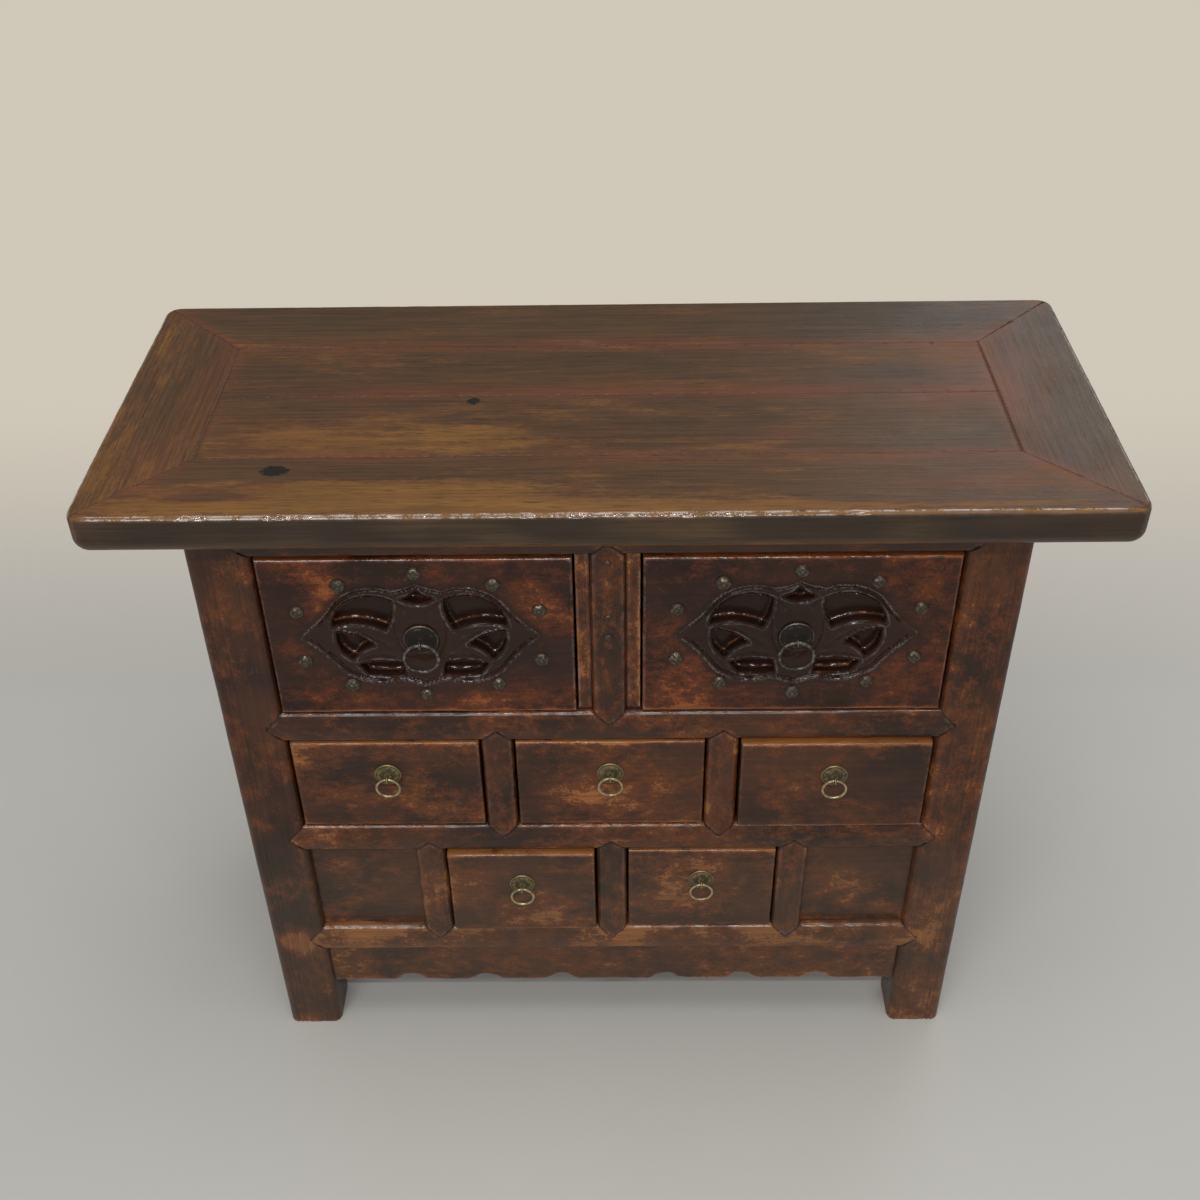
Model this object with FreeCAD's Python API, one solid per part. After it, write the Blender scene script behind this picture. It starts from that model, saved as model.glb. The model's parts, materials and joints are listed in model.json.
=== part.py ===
import FreeCAD, Part
import os

# Chinese elm chest of drawers: a mitred frame-and-panel top on moulded legs, with three rows of drawers.
# Millimetres. X runs along the chest, +Y to its back and +Z up.
# The origin is on the floor, under the middle of the top.

Vector = FreeCAD.Vector

# Carcass, front to back and side to side
INNER_WIDTH = 729.0
BODY_DEPTH = 392.0
LEG_WIDTH = 68.0
LEG_DEPTH = 60.0
LEG_CORNER = 11.0
REED_INSET = 12.5
REED_WIDTH = 6.0
REED_DEPTH = 1.4
REED_FLANK = 1.2
REEDS = 2

# Heights, from the floor up
FLOOR_GAP = 147.0
LOWER_ROW = 141.0
MIDDLE_ROW = 136.0
UPPER_ROW = 214.0
RAIL_HEIGHT = 44.0
TOP_RAIL_HEIGHT = 34.0

# Top
TOP_THICKNESS = 46.0
FRONT_OVERHANG = 37.0
REAR_OVERHANG = 15.0
END_OVERHANG = 95.5
TOP_FRAME_WIDTH = 106.0
TOP_CORNER = 18.0
TOP_ARRIS = 6.0
TOP_UNDERCUT = 17.0
BOARD_THICKNESS = 18.0
BOARD_TONGUE = 10.0
TONGUE_THICKNESS = 8.0
FRONT_BOARD_WIDTH = 120.0
BATTEN_WIDTH = 42.0
BATTEN_THICKNESS = 22.0
BATTEN_SPACING = 260.0
CORNER_TENON_WIDTH = 40.0
CORNER_TENON_INSET = 20.0
CORNER_TENON_END = 24.0
LEG_STUB = 20.0
LEG_STUB_WIDTH = 30.0

# Rails, dividers and their joints
RAIL_DEPTH = 40.0
RAIL_CROWN = 2.0
RAIL_ARRIS = 8.0
RAIL_POINT = 20.0
DIVIDER_WIDTH = 37.0
DIVIDER_CROWN = 2.0
DIVIDER_ARRIS = 8.0
DIVIDER_POINT = 18.0
POINT_DEPTH = 14.0
TENON_LENGTH = 30.0
TENON_THICKNESS = 14.0
TENON_SETBACK = 17.0
TENON_SHOULDER = 8.0
DIVIDER_STUB = 12.0
UPPER_DIVIDER_WIDTH = 38.0
STRIP_WIDTH = 15.5
STRIP_THICKNESS = 12.0
STRIP_SETBACK = 10.0
NAIL_HEAD = 9.0
NAIL_RISE = 2.4
NAIL_SHANK = 3.0
NAIL_LENGTH = 14.0
NAIL_CLEARANCE = 0.1
NAIL_HEIGHTS = (109.0, 136.0, 207.0)

# Panels, sides and back
GROOVE = 6.0
FIXED_PANEL_WIDTH = 128.0
PANEL_THICKNESS = 12.0
SIDE_RAIL_THICKNESS = 28.0
SIDE_RAIL_SETBACK = 4.0
SIDE_TENON = 20.0
SIDE_PANEL_THICKNESS = 10.0
SIDE_PANEL_SETBACK = 12.0
REAR_RAIL_DEPTH = 34.0
REAR_RAIL_SETBACK = 4.0
BACK_BOARD_THICKNESS = 10.0

# Scalloped apron
APRON_DROP = 70.0
APRON_THICKNESS = 18.0
APRON_SETBACK = 10.0
APRON_TONGUE = 8.0
SCALLOP_RISE = 11.0
SCALLOP_WIDTH = 50.0
FIRST_SCALLOP = 68.5
SCALLOP_SPACING = 98.0
SCALLOPS_EACH_SIDE = 3

# Drawers
DRAWER_GAP = 1.5
RUNNING_CLEARANCE = 0.4
FRONT_THICKNESS = 22.0
CARVED_FRONT_THICKNESS = 28.0
FRONT_ARRIS = 3.0
FRONT_SETBACK = 3.0
PROUD_FRONT_RISE = 3.0
DRAWER_SIDE = 10.0
DRAWER_BACK = 10.0
DRAWER_BOTTOM = 7.0
BOTTOM_RAISE = 8.0
BOTTOM_GROOVE = 5.0
BACK_HOUSING = 4.0
BACK_INSET = 8.0
FRONT_HOUSING = 9.0
SIDE_INSET = 1.5
SIDE_DROP = 10.0
BACK_DROP = 6.0
DRAWER_REAR_GAP = 16.0
RUNNER_BEARING = 24.0
RUNNER_THICKNESS = 20.0
RUNNER_STUB = 8.0
GUIDE_HEIGHT = 24.0
GUIDE_WIDTH = 22.0
GUIDE_CLEARANCE = 1.0

# Ring pulls: small ones of brass, large ones of iron
SMALL_PLATE = 31.0
SMALL_PLATE_RISE = 4.0
SMALL_RING = 30.0
SMALL_RING_WIRE = 3.4
SMALL_PULL_RISE = 18.0
LARGE_PLATE = 38.0
LARGE_PLATE_RISE = 5.0
LARGE_RING = 41.0
LARGE_RING_WIRE = 4.4
PLATE_RIM = 1.2
EYE_WIRE = 2.8
EYE_CLEARANCE = 0.6
SHANK = 3.6
SHANK_CLEARANCE = 0.2
PRONG_LENGTH = 14.0
PRONG_WIDTH = 3.2
PRONG_THICKNESS = 1.2

# Carving and its studs
CARTOUCHE_LENGTH = 248.0
CARTOUCHE_HEIGHT = 134.0
CARTOUCHE_RISE = 4.0
BORDER_WIDTH = 3.5
BORDER_DEPTH = 2.0
WINDOW_DEPTH = 14.0
STUD = 18.0
STUD_RISE = 5.5
STUD_MIDDLE_X = 80.0
STUD_END_X = 127.5
STUD_PEAK_Z = 83.0
STUD_MIDDLE_Z = 68.0
STUD_END_Z = 33.5

# Outlines of the carving, in shares of the cartouche's half length and half height, for its right half.
# A corner is followed by a point on the arc to the next corner, or by None for a straight stretch.
CARTOUCHE_QUARTER = (
    (0.0, 1.0), (0.097, 0.925), (0.218, 0.873), (0.468, 0.918), (0.734, 0.558), (0.839, 0.30), (1.0, 0.0))
BUD_WINDOW = (
    (0.0, 0.91), (0.056, 0.79), (0.137, 0.735), (0.0, 0.64), (-0.137, 0.735), (-0.056, 0.79), (0.0, 0.91))
LEAF_WINDOW = (
    (0.218, 0.687), (0.371, 0.776), (0.532, 0.735), (0.68, 0.522), (0.75, 0.18), (0.548, 0.254),
    (0.298, 0.119), (0.238, 0.373), (0.218, 0.687))
TIP_WINDOW = (
    (0.718, 0.075), (0.573, 0.015), (0.411, -0.194), (0.524, -0.299), (0.605, -0.493), (0.71, -0.239),
    (0.718, 0.075))
FOOT_WINDOW = (
    (0.194, -0.567), (0.379, -0.537), (0.565, -0.597), None, (0.484, -0.806), (0.323, -0.836),
    (0.169, -0.821), None, (0.194, -0.567))

# Planes and levels that the pieces share
HALF_INNER = INNER_WIDTH / 2
HALF_BODY = HALF_INNER + LEG_WIDTH
HALF_TOP = HALF_BODY + END_OVERHANG
TOP_DEPTH = FRONT_OVERHANG + BODY_DEPTH + REAR_OVERHANG
HALF_DEPTH = TOP_DEPTH / 2
FACE = FRONT_OVERHANG - HALF_DEPTH
REAR = FACE + BODY_DEPTH
RAIL_BACK = FACE + RAIL_DEPTH
PANEL_FRONT = FACE + POINT_DEPTH
REAR_RAIL_BACK = REAR - REAR_RAIL_SETBACK
REAR_RAIL_FRONT = REAR_RAIL_BACK - REAR_RAIL_DEPTH
REAR_RAIL_MIDDLE = (REAR_RAIL_FRONT + REAR_RAIL_BACK) / 2
BACK_BOARD_FRONT = REAR_RAIL_MIDDLE - BACK_BOARD_THICKNESS / 2
DRAWER_REAR = BACK_BOARD_FRONT - DRAWER_REAR_GAP

LOWER_RAIL_Z = FLOOR_GAP
LOWER_ROW_Z = LOWER_RAIL_Z + RAIL_HEIGHT
MIDDLE_RAIL_Z = LOWER_ROW_Z + LOWER_ROW
MIDDLE_ROW_Z = MIDDLE_RAIL_Z + RAIL_HEIGHT
UPPER_RAIL_Z = MIDDLE_ROW_Z + MIDDLE_ROW
UPPER_ROW_Z = UPPER_RAIL_Z + RAIL_HEIGHT
TOP_RAIL_Z = UPPER_ROW_Z + UPPER_ROW
TOP_Z = TOP_RAIL_Z + TOP_RAIL_HEIGHT
HEIGHT = TOP_Z + TOP_THICKNESS
BOARD_Z = HEIGHT - BOARD_THICKNESS

UPPER_SPAN = UPPER_DIVIDER_WIDTH + 2 * STRIP_WIDTH
UPPER_OPENING = (INNER_WIDTH - UPPER_SPAN) / 2
MIDDLE_OPENING = (INNER_WIDTH - 2 * DIVIDER_WIDTH) / 3
LOWER_OPENING = (INNER_WIDTH - 2 * FIXED_PANEL_WIDTH - 3 * DIVIDER_WIDTH) / 2
UPPER_DRAWER_X = (UPPER_SPAN + UPPER_OPENING) / 2
MIDDLE_DRAWER_X = MIDDLE_OPENING + DIVIDER_WIDTH
LOWER_DRAWER_X = (DIVIDER_WIDTH + LOWER_OPENING) / 2
MIDDLE_DIVIDER_X = MIDDLE_DRAWER_X / 2
LOWER_DIVIDER_X = 2 * LOWER_DRAWER_X

RAIL_LEVELS = {
    "front_rail_top": (TOP_RAIL_Z, TOP_Z),
    "front_rail_upper": (UPPER_RAIL_Z, UPPER_ROW_Z),
    "front_rail_middle": (MIDDLE_RAIL_Z, MIDDLE_ROW_Z),
    "front_rail_lower": (LOWER_RAIL_Z, LOWER_ROW_Z),
}
LEFT = -1
RIGHT = 1
SIDES = (LEFT, RIGHT)

# Two places closer than this are the same place
SAME_PLACE = 0.001


class Drawer:
    """Place and size of one drawer's opening in the front."""

    def __init__(self, x, floor, width, height, carved=False, proud=False):
        self.x = x
        self.floor = floor
        self.width = width
        self.height = height
        self.carved = carved
        self.face = FACE - PROUD_FRONT_RISE if proud else FACE + FRONT_SETBACK
        self.back_of_front = FACE + FRONT_SETBACK + (CARVED_FRONT_THICKNESS if carved else FRONT_THICKNESS)
        self.half_front = width / 2 - DRAWER_GAP
        self.half_box = self.half_front - SIDE_INSET
        self.side_top = floor + height - SIDE_DROP
        self.bottom_top = floor + BOTTOM_RAISE + DRAWER_BOTTOM
        self.middle = floor + height / 2
        self.pull_z = self.middle if carved else self.middle + SMALL_PULL_RISE
        self.plate = LARGE_PLATE if carved else SMALL_PLATE
        self.plate_rise = LARGE_PLATE_RISE if carved else SMALL_PLATE_RISE
        self.ring = LARGE_RING if carved else SMALL_RING
        self.wire = LARGE_RING_WIRE if carved else SMALL_RING_WIRE
        self.eye_radius = self.wire / 2 + EYE_CLEARANCE + EYE_WIRE / 2
        self.eye_y = self.face - self.plate_rise - self.eye_radius - EYE_WIRE / 2


DRAWERS = {
    "upper_left": Drawer(-UPPER_DRAWER_X, UPPER_ROW_Z, UPPER_OPENING, UPPER_ROW, carved=True),
    "upper_right": Drawer(UPPER_DRAWER_X, UPPER_ROW_Z, UPPER_OPENING, UPPER_ROW, carved=True),
    "middle_left": Drawer(-MIDDLE_DRAWER_X, MIDDLE_ROW_Z, MIDDLE_OPENING, MIDDLE_ROW),
    "middle_centre": Drawer(0.0, MIDDLE_ROW_Z, MIDDLE_OPENING, MIDDLE_ROW),
    "middle_right": Drawer(MIDDLE_DRAWER_X, MIDDLE_ROW_Z, MIDDLE_OPENING, MIDDLE_ROW, proud=True),
    "lower_left": Drawer(-LOWER_DRAWER_X, LOWER_ROW_Z, LOWER_OPENING, LOWER_ROW, proud=True),
    "lower_right": Drawer(LOWER_DRAWER_X, LOWER_ROW_Z, LOWER_OPENING, LOWER_ROW),
}


# General shapes
def box(x0, x1, y0, y1, z0, z1):
    return Part.makeBox(x1 - x0, y1 - y0, z1 - z0, Vector(x0, y0, z0))


def edges_along(points):
    """Edges through corners, each followed by a point on the arc to the next corner or by None."""
    edges = []
    for start, through, end in zip(points[0:-2:2], points[1::2], points[2::2]):
        if through is None:
            edges.append(Part.LineSegment(start, end).toShape())
        else:
            edges.append(Part.Arc(start, through, end).toShape())
    return edges


def prism(points, travel):
    """Solid swept from a closed outline along a straight travel."""
    return Part.Face(Part.Wire(edges_along(points))).extrude(travel)


def polygon(points, travel):
    return Part.Face(Part.makePolygon(points + points[:1])).extrude(travel)


def turned(profile, x, z):
    """Solid turned from (radius, y) profile points about the level axis through x and z."""
    points = [Vector(x + point[0], point[1], z) if point else None for point in profile]
    face = Part.Face(Part.Wire(edges_along(points)))
    return face.revolve(Vector(x, 0, z), Vector(0, 1, 0), 360)


def mirrored(shape):
    return shape.mirror(Vector(0, 0, 0), Vector(1, 0, 0))


def on_side(shape, side):
    """A shape made for the right-hand side, or its mirror image for the left."""
    return shape if side == RIGHT else mirrored(shape)


def rounded_face(half_width, crown, arris):
    """A bar's face from one edge to the other, as (across, behind the face): round arrises and a low crown."""
    near = arris * (1 - 0.5 ** 0.5)
    rising = [(half_width, crown + arris), (half_width - near, crown + near), (half_width - arris, crown)]
    falling = [(-across, behind) for across, behind in reversed(rising)]
    return rising + [(0.0, 0.0)] + falling


# Front rails with rounded faces and pointed ends
def rail_point(side, bottom, top):
    """Wedge by which a rail's face runs out in a point on the leg."""
    shoulder = side * HALF_INNER
    corners = [
        Vector(shoulder, FACE, bottom),
        Vector(shoulder + side * RAIL_POINT, FACE, (bottom + top) / 2),
        Vector(shoulder, FACE, top),
    ]
    return polygon(corners, Vector(0, POINT_DEPTH, 0))


def rail_tenon(side, bottom, top):
    low, high = sorted((side * HALF_INNER, side * (HALF_INNER + TENON_LENGTH)))
    front = FACE + TENON_SETBACK
    return box(low, high, front, front + TENON_THICKNESS, bottom + TENON_SHOULDER, top - TENON_SHOULDER)


def front_rail(bottom, top):
    start = -HALF_INNER - RAIL_POINT
    middle = (bottom + top) / 2
    face = rounded_face((top - bottom) / 2, RAIL_CROWN, RAIL_ARRIS)
    section = [Vector(start, FACE + behind, middle + across) for across, behind in face]
    section += [None, Vector(start, RAIL_BACK, bottom), None, Vector(start, RAIL_BACK, top), None, section[0]]
    bar = prism(section, Vector(-2 * start, 0, 0))
    outline = box(-HALF_INNER, HALF_INNER, FACE, RAIL_BACK, bottom, top)
    outline = outline.multiFuse([rail_point(side, bottom, top) for side in SIDES])
    tenons = [rail_tenon(side, bottom, top) for side in SIDES]
    return bar.common(outline).multiFuse(tenons).removeSplitter()


# Dividers with rounded faces and pointed ends
def divider_point(x, width, level, reach):
    """Wedge by which a divider's face runs out in a point on a rail, upwards for a positive reach."""
    corners = [
        Vector(x - width / 2, FACE, level),
        Vector(x, FACE, level + reach),
        Vector(x + width / 2, FACE, level),
    ]
    return polygon(corners, Vector(0, POINT_DEPTH, 0))


def divider_ends(x, width, bottom, top):
    """The points and stub tenons that a divider sets into the rails above and below it."""
    half_stub = width / 2 - TENON_SHOULDER
    front = FACE + TENON_SETBACK
    rear = RAIL_BACK - RUNNER_STUB - GUIDE_CLEARANCE
    return [
        divider_point(x, width, bottom, -DIVIDER_POINT),
        divider_point(x, width, top, DIVIDER_POINT),
        box(x - half_stub, x + half_stub, front, rear, bottom - DIVIDER_STUB, bottom),
        box(x - half_stub, x + half_stub, front, rear, top, top + DIVIDER_STUB),
    ]


def divider(x, width, bottom, top):
    start = bottom - DIVIDER_POINT
    face = rounded_face(width / 2, DIVIDER_CROWN, DIVIDER_ARRIS)
    section = [Vector(x + across, FACE + behind, start) for across, behind in face]
    section += [
        None, Vector(x - width / 2, RAIL_BACK, start), None, Vector(x + width / 2, RAIL_BACK, start), None, section[0]]
    bar = prism(section, Vector(0, 0, top - bottom + 2 * DIVIDER_POINT))
    low_point, high_point, low_stub, high_stub = divider_ends(x, width, bottom, top)
    outline = box(x - width / 2, x + width / 2, FACE, RAIL_BACK, bottom, top)
    outline = outline.multiFuse([low_point, high_point])
    return bar.common(outline).multiFuse([low_stub, high_stub]).removeSplitter()


def nail(height):
    """Iron nail whose shank goes into the upper divider."""
    head = FACE - NAIL_RISE
    shank = NAIL_SHANK / 2
    profile = [
        (0.0, head), (NAIL_HEAD * 0.32, head + NAIL_RISE * 0.3), (NAIL_HEAD / 2, FACE), None,
        (shank, FACE), None, (shank, FACE + NAIL_LENGTH), None, (0.0, FACE + NAIL_LENGTH), None, (0.0, head)]
    return turned(profile, 0.0, UPPER_ROW_Z + height)


def nail_hole(height):
    radius = NAIL_SHANK / 2 + NAIL_CLEARANCE
    return Part.makeCylinder(radius, NAIL_LENGTH, Vector(0, FACE, UPPER_ROW_Z + height), Vector(0, 1, 0))


def divider_strip(side):
    """Flat strip beside the upper divider."""
    strip = box(
        UPPER_DIVIDER_WIDTH / 2, UPPER_SPAN / 2, FACE + STRIP_SETBACK, FACE + STRIP_SETBACK + STRIP_THICKNESS,
        UPPER_ROW_Z, TOP_RAIL_Z)
    return on_side(strip, side)


# Panels in grooves
def fixed_panel(side):
    inner = HALF_INNER - FIXED_PANEL_WIDTH
    panel = box(
        inner - GROOVE, HALF_INNER + GROOVE, PANEL_FRONT, PANEL_FRONT + PANEL_THICKNESS,
        LOWER_ROW_Z - GROOVE, MIDDLE_RAIL_Z + GROOVE)
    return on_side(panel, side)


def side_panel(side):
    outer = HALF_BODY - SIDE_PANEL_SETBACK
    panel = box(
        outer - SIDE_PANEL_THICKNESS, outer, FACE + LEG_DEPTH - GROOVE, REAR - LEG_DEPTH + GROOVE,
        LOWER_ROW_Z - GROOVE, TOP_RAIL_Z + GROOVE)
    return on_side(panel, side)


def back_board(bottom, top):
    return box(
        -HALF_INNER - GROOVE, HALF_INNER + GROOVE, BACK_BOARD_FRONT, BACK_BOARD_FRONT + BACK_BOARD_THICKNESS,
        bottom - GROOVE, top + GROOVE)


# Side and rear rails
def side_rail_tenons(side, bottom, top):
    middle = HALF_BODY - SIDE_RAIL_SETBACK - SIDE_RAIL_THICKNESS / 2
    x0 = middle - TENON_THICKNESS / 2
    x1 = middle + TENON_THICKNESS / 2
    front = FACE + LEG_DEPTH
    rear = REAR - LEG_DEPTH
    low = bottom + TENON_SHOULDER
    high = top - TENON_SHOULDER
    tenons = [
        box(x0, x1, front - SIDE_TENON, front, low, high),
        box(x0, x1, rear, rear + SIDE_TENON, low, high),
    ]
    return [on_side(tenon, side) for tenon in tenons]


def side_rail(side, bottom, top):
    outer = HALF_BODY - SIDE_RAIL_SETBACK
    bar = box(outer - SIDE_RAIL_THICKNESS, outer, FACE + LEG_DEPTH, REAR - LEG_DEPTH, bottom, top)
    return on_side(bar, side).multiFuse(side_rail_tenons(side, bottom, top)).cut(side_panel(side))


def rear_rail_tenon(side, bottom, top):
    low, high = sorted((side * HALF_INNER, side * (HALF_INNER + TENON_LENGTH)))
    front = REAR_RAIL_MIDDLE - TENON_THICKNESS / 2
    rear = REAR_RAIL_MIDDLE + TENON_THICKNESS / 2
    return box(low, high, front, rear, bottom + TENON_SHOULDER, top - TENON_SHOULDER)


def rear_rail(bottom, top):
    bar = box(-HALF_INNER, HALF_INNER, REAR_RAIL_FRONT, REAR_RAIL_BACK, bottom, top)
    return bar.multiFuse([rear_rail_tenon(side, bottom, top) for side in SIDES])


# Apron
def scallop(x, edge):
    """Ogee arch cut up into the apron's lower edge, from left to right."""
    quarter = SCALLOP_WIDTH / 4
    radius = (quarter * quarter + SCALLOP_RISE * SCALLOP_RISE / 4) / SCALLOP_RISE
    flare = quarter / 2
    flare_rise = radius - (radius * radius - flare * flare) ** 0.5
    middle_rise = SCALLOP_RISE / 2
    y = FACE + APRON_SETBACK
    left_flare = Vector(x - 2 * quarter + flare, y, edge + flare_rise)
    right_flare = Vector(x + 2 * quarter - flare, y, edge + flare_rise)
    return [
        Vector(x - 2 * quarter, y, edge), left_flare,
        Vector(x - quarter, y, edge + middle_rise), Vector(x, y, edge + SCALLOP_RISE),
        Vector(x + quarter, y, edge + middle_rise), right_flare,
        Vector(x + 2 * quarter, y, edge),
    ]


def apron_tongue():
    front = FACE + APRON_SETBACK + (APRON_THICKNESS - APRON_TONGUE) / 2
    return box(
        -HALF_INNER - GROOVE, HALF_INNER + GROOVE, front, front + APRON_TONGUE,
        LOWER_RAIL_Z - APRON_DROP + SCALLOP_RISE, LOWER_RAIL_Z + GROOVE)


def apron():
    edge = LOWER_RAIL_Z - APRON_DROP
    y = FACE + APRON_SETBACK
    outline = [Vector(-HALF_INNER, y, edge), None]
    distances = [FIRST_SCALLOP + index * SCALLOP_SPACING for index in range(SCALLOPS_EACH_SIDE)]
    for x in sorted([-distance for distance in distances] + distances):
        outline += scallop(x, edge) + [None]
    outline += [Vector(HALF_INNER, y, edge), None, Vector(HALF_INNER, y, LOWER_RAIL_Z), None]
    outline += [Vector(-HALF_INNER, y, LOWER_RAIL_Z), None, Vector(-HALF_INNER, y, edge)]
    board = prism(outline, Vector(0, APRON_THICKNESS, 0))
    return board.fuse(apron_tongue()).removeSplitter()


# Legs
def leg_stub(side, middle_y):
    """Tenon on top of a leg, set into the top's long rail."""
    middle_x = HALF_INNER + LEG_WIDTH / 2
    half = LEG_STUB_WIDTH / 2
    stub = box(middle_x - half, middle_x + half, middle_y - half, middle_y + half, TOP_Z, TOP_Z + LEG_STUB)
    return on_side(stub, side)


def reeding(start):
    """Round reeds side by side, flush with the leg's face, with a fine groove along each."""
    quirk = FACE + REED_DEPTH
    outline = [(start - REED_FLANK, FACE), None, (start, quirk)]
    for index in range(REEDS):
        left = start + index * REED_WIDTH
        outline += [(left + REED_WIDTH / 2, FACE), (left + REED_WIDTH, quirk)]
    return outline + [None, (start + REEDS * REED_WIDTH + REED_FLANK, FACE), None]


def front_leg_section():
    """Right-hand leg in plan: rounded front corners, with reeding along each."""
    round_point = LEG_CORNER * (1 - 0.5 ** 0.5)
    outline = [
        (HALF_INNER, FACE + LEG_DEPTH), None,
        (HALF_INNER, FACE + LEG_CORNER), (HALF_INNER + round_point, FACE + round_point),
        (HALF_INNER + LEG_CORNER, FACE), None,
    ]
    outline += reeding(HALF_INNER + REED_INSET) + reeding(HALF_BODY - REED_INSET - REEDS * REED_WIDTH)
    outline += [
        (HALF_BODY - LEG_CORNER, FACE), (HALF_BODY - round_point, FACE + round_point),
        (HALF_BODY, FACE + LEG_CORNER), None,
        (HALF_BODY, FACE + LEG_DEPTH), None,
        (HALF_INNER, FACE + LEG_DEPTH),
    ]
    return [Vector(point[0], point[1], 0) if point else None for point in outline]


def leg_side_joints():
    """What a right-hand side's rails and panel cut from both of its legs."""
    cuts = side_rail_tenons(RIGHT, TOP_RAIL_Z, TOP_Z)
    cuts += side_rail_tenons(RIGHT, LOWER_RAIL_Z, LOWER_ROW_Z)
    return cuts + [side_panel(RIGHT)]


def front_leg(side):
    leg = prism(front_leg_section(), Vector(0, 0, TOP_Z))
    leg = leg.fuse(leg_stub(RIGHT, FACE + LEG_DEPTH / 2))
    cuts = leg_side_joints() + [fixed_panel(RIGHT), apron_tongue()]
    for bottom, top in RAIL_LEVELS.values():
        cuts += [rail_point(RIGHT, bottom, top), rail_tenon(RIGHT, bottom, top)]
    return on_side(leg.cut(cuts), side)


def rear_leg(side):
    leg = box(HALF_INNER, HALF_BODY, REAR - LEG_DEPTH, REAR, 0, TOP_Z)
    outer_corner = [
        edge for edge in leg.Edges
        if edge.CenterOfMass.isEqual(Vector(HALF_BODY, REAR, TOP_Z / 2), SAME_PLACE)]
    leg = leg.makeFillet(LEG_CORNER, outer_corner)
    leg = leg.fuse(leg_stub(RIGHT, REAR - LEG_DEPTH / 2))
    cuts = leg_side_joints()
    cuts += [rear_rail_tenon(RIGHT, bottom, top) for bottom, top in RAIL_LEVELS.values()]
    cuts += [back_board(bottom, top) for bottom, top in ROW_LEVELS]
    return on_side(leg.cut(cuts), side)


# Top
def top_slab():
    """The whole top's outline: round corners, a soft upper arris and a deep round underneath."""
    slab = box(-HALF_TOP, HALF_TOP, -HALF_DEPTH, HALF_DEPTH, TOP_Z, HEIGHT)
    middle = (TOP_Z + HEIGHT) / 2
    corners = [edge for edge in slab.Edges if abs(edge.CenterOfMass.z - middle) < SAME_PLACE]
    slab = slab.makeFillet(TOP_CORNER, corners)
    upper = [edge for edge in slab.Edges if abs(edge.BoundBox.ZMin - HEIGHT) < SAME_PLACE]
    slab = slab.makeFillet(TOP_ARRIS, upper)
    lower = [edge for edge in slab.Edges if abs(edge.BoundBox.ZMax - TOP_Z) < SAME_PLACE]
    return slab.makeFillet(TOP_UNDERCUT, lower)


def corner_tenon(side, end):
    """Tenon on a long rail's mitre; end is -1 in front and 1 behind."""
    inner = HALF_DEPTH - TOP_FRAME_WIDTH + CORNER_TENON_INSET
    near, far = sorted((end * inner, end * (inner + CORNER_TENON_WIDTH)))
    bottom = TOP_Z + (BOARD_Z - TOP_Z - TENON_THICKNESS) / 2
    tenon = box(
        HALF_TOP - TOP_FRAME_WIDTH, HALF_TOP - CORNER_TENON_END, near, far, bottom, bottom + TENON_THICKNESS)
    return on_side(tenon, side)


def board_tongue(front, rear):
    """A board's tongue, which runs into the frame's groove past the board's visible edge."""
    half = HALF_TOP - TOP_FRAME_WIDTH + BOARD_TONGUE
    return box(-half, half, front, rear, BOARD_Z, BOARD_Z + TONGUE_THICKNESS)


def top_boards():
    """The front and rear boards, which meet at a straight seam."""
    half = HALF_TOP - TOP_FRAME_WIDTH
    front = TOP_FRAME_WIDTH - HALF_DEPTH
    rear = HALF_DEPTH - TOP_FRAME_WIDTH
    seam = front + FRONT_BOARD_WIDTH
    front_board = box(-half, half, front, seam, BOARD_Z, HEIGHT)
    front_board = front_board.fuse(board_tongue(front - BOARD_TONGUE, seam))
    rear_board = box(-half, half, seam, rear, BOARD_Z, HEIGHT)
    rear_board = rear_board.fuse(board_tongue(seam, rear + BOARD_TONGUE))
    return front_board.removeSplitter(), rear_board.removeSplitter()


def top_battens():
    reach = HALF_DEPTH - TOP_FRAME_WIDTH + BOARD_TONGUE
    half = BATTEN_WIDTH / 2
    bottom = BOARD_Z - BATTEN_THICKNESS
    return [
        box(x - half, x + half, -reach, reach, bottom, BOARD_Z)
        for x in (-BATTEN_SPACING, 0.0, BATTEN_SPACING)]


def top_frame():
    """The four mitred members: front, rear, left and right."""
    slab = top_slab()
    outer = [Vector(x * HALF_TOP, y * HALF_DEPTH, TOP_Z) for x, y in ((-1, -1), (1, -1), (1, 1), (-1, 1))]
    x_inner = HALF_TOP - TOP_FRAME_WIDTH
    y_inner = HALF_DEPTH - TOP_FRAME_WIDTH
    inner = [Vector(x * x_inner, y * y_inner, TOP_Z) for x, y in ((-1, -1), (1, -1), (1, 1), (-1, 1))]
    members = []
    for index in range(4):
        following = (index + 1) % 4
        corners = [outer[index], outer[following], inner[following], inner[index]]
        members.append(slab.common(polygon(corners, Vector(0, 0, TOP_THICKNESS))))
    front, right, rear, left = members
    front_tenons = [corner_tenon(side, -1) for side in SIDES]
    rear_tenons = [corner_tenon(side, 1) for side in SIDES]
    groove = board_tongue(-y_inner - BOARD_TONGUE, y_inner + BOARD_TONGUE)
    leg_middle = LEG_DEPTH / 2
    front_cuts = [groove] + top_battens() + [leg_stub(side, FACE + leg_middle) for side in SIDES]
    rear_cuts = [groove] + top_battens() + [leg_stub(side, REAR - leg_middle) for side in SIDES]
    end_cuts = [groove] + front_tenons + rear_tenons
    return {
        "top_front_rail": front.multiFuse(front_tenons).cut(front_cuts),
        "top_rear_rail": rear.multiFuse(rear_tenons).cut(rear_cuts),
        "top_left_end": left.cut(end_cuts),
        "top_right_end": right.cut(end_cuts),
    }


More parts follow.
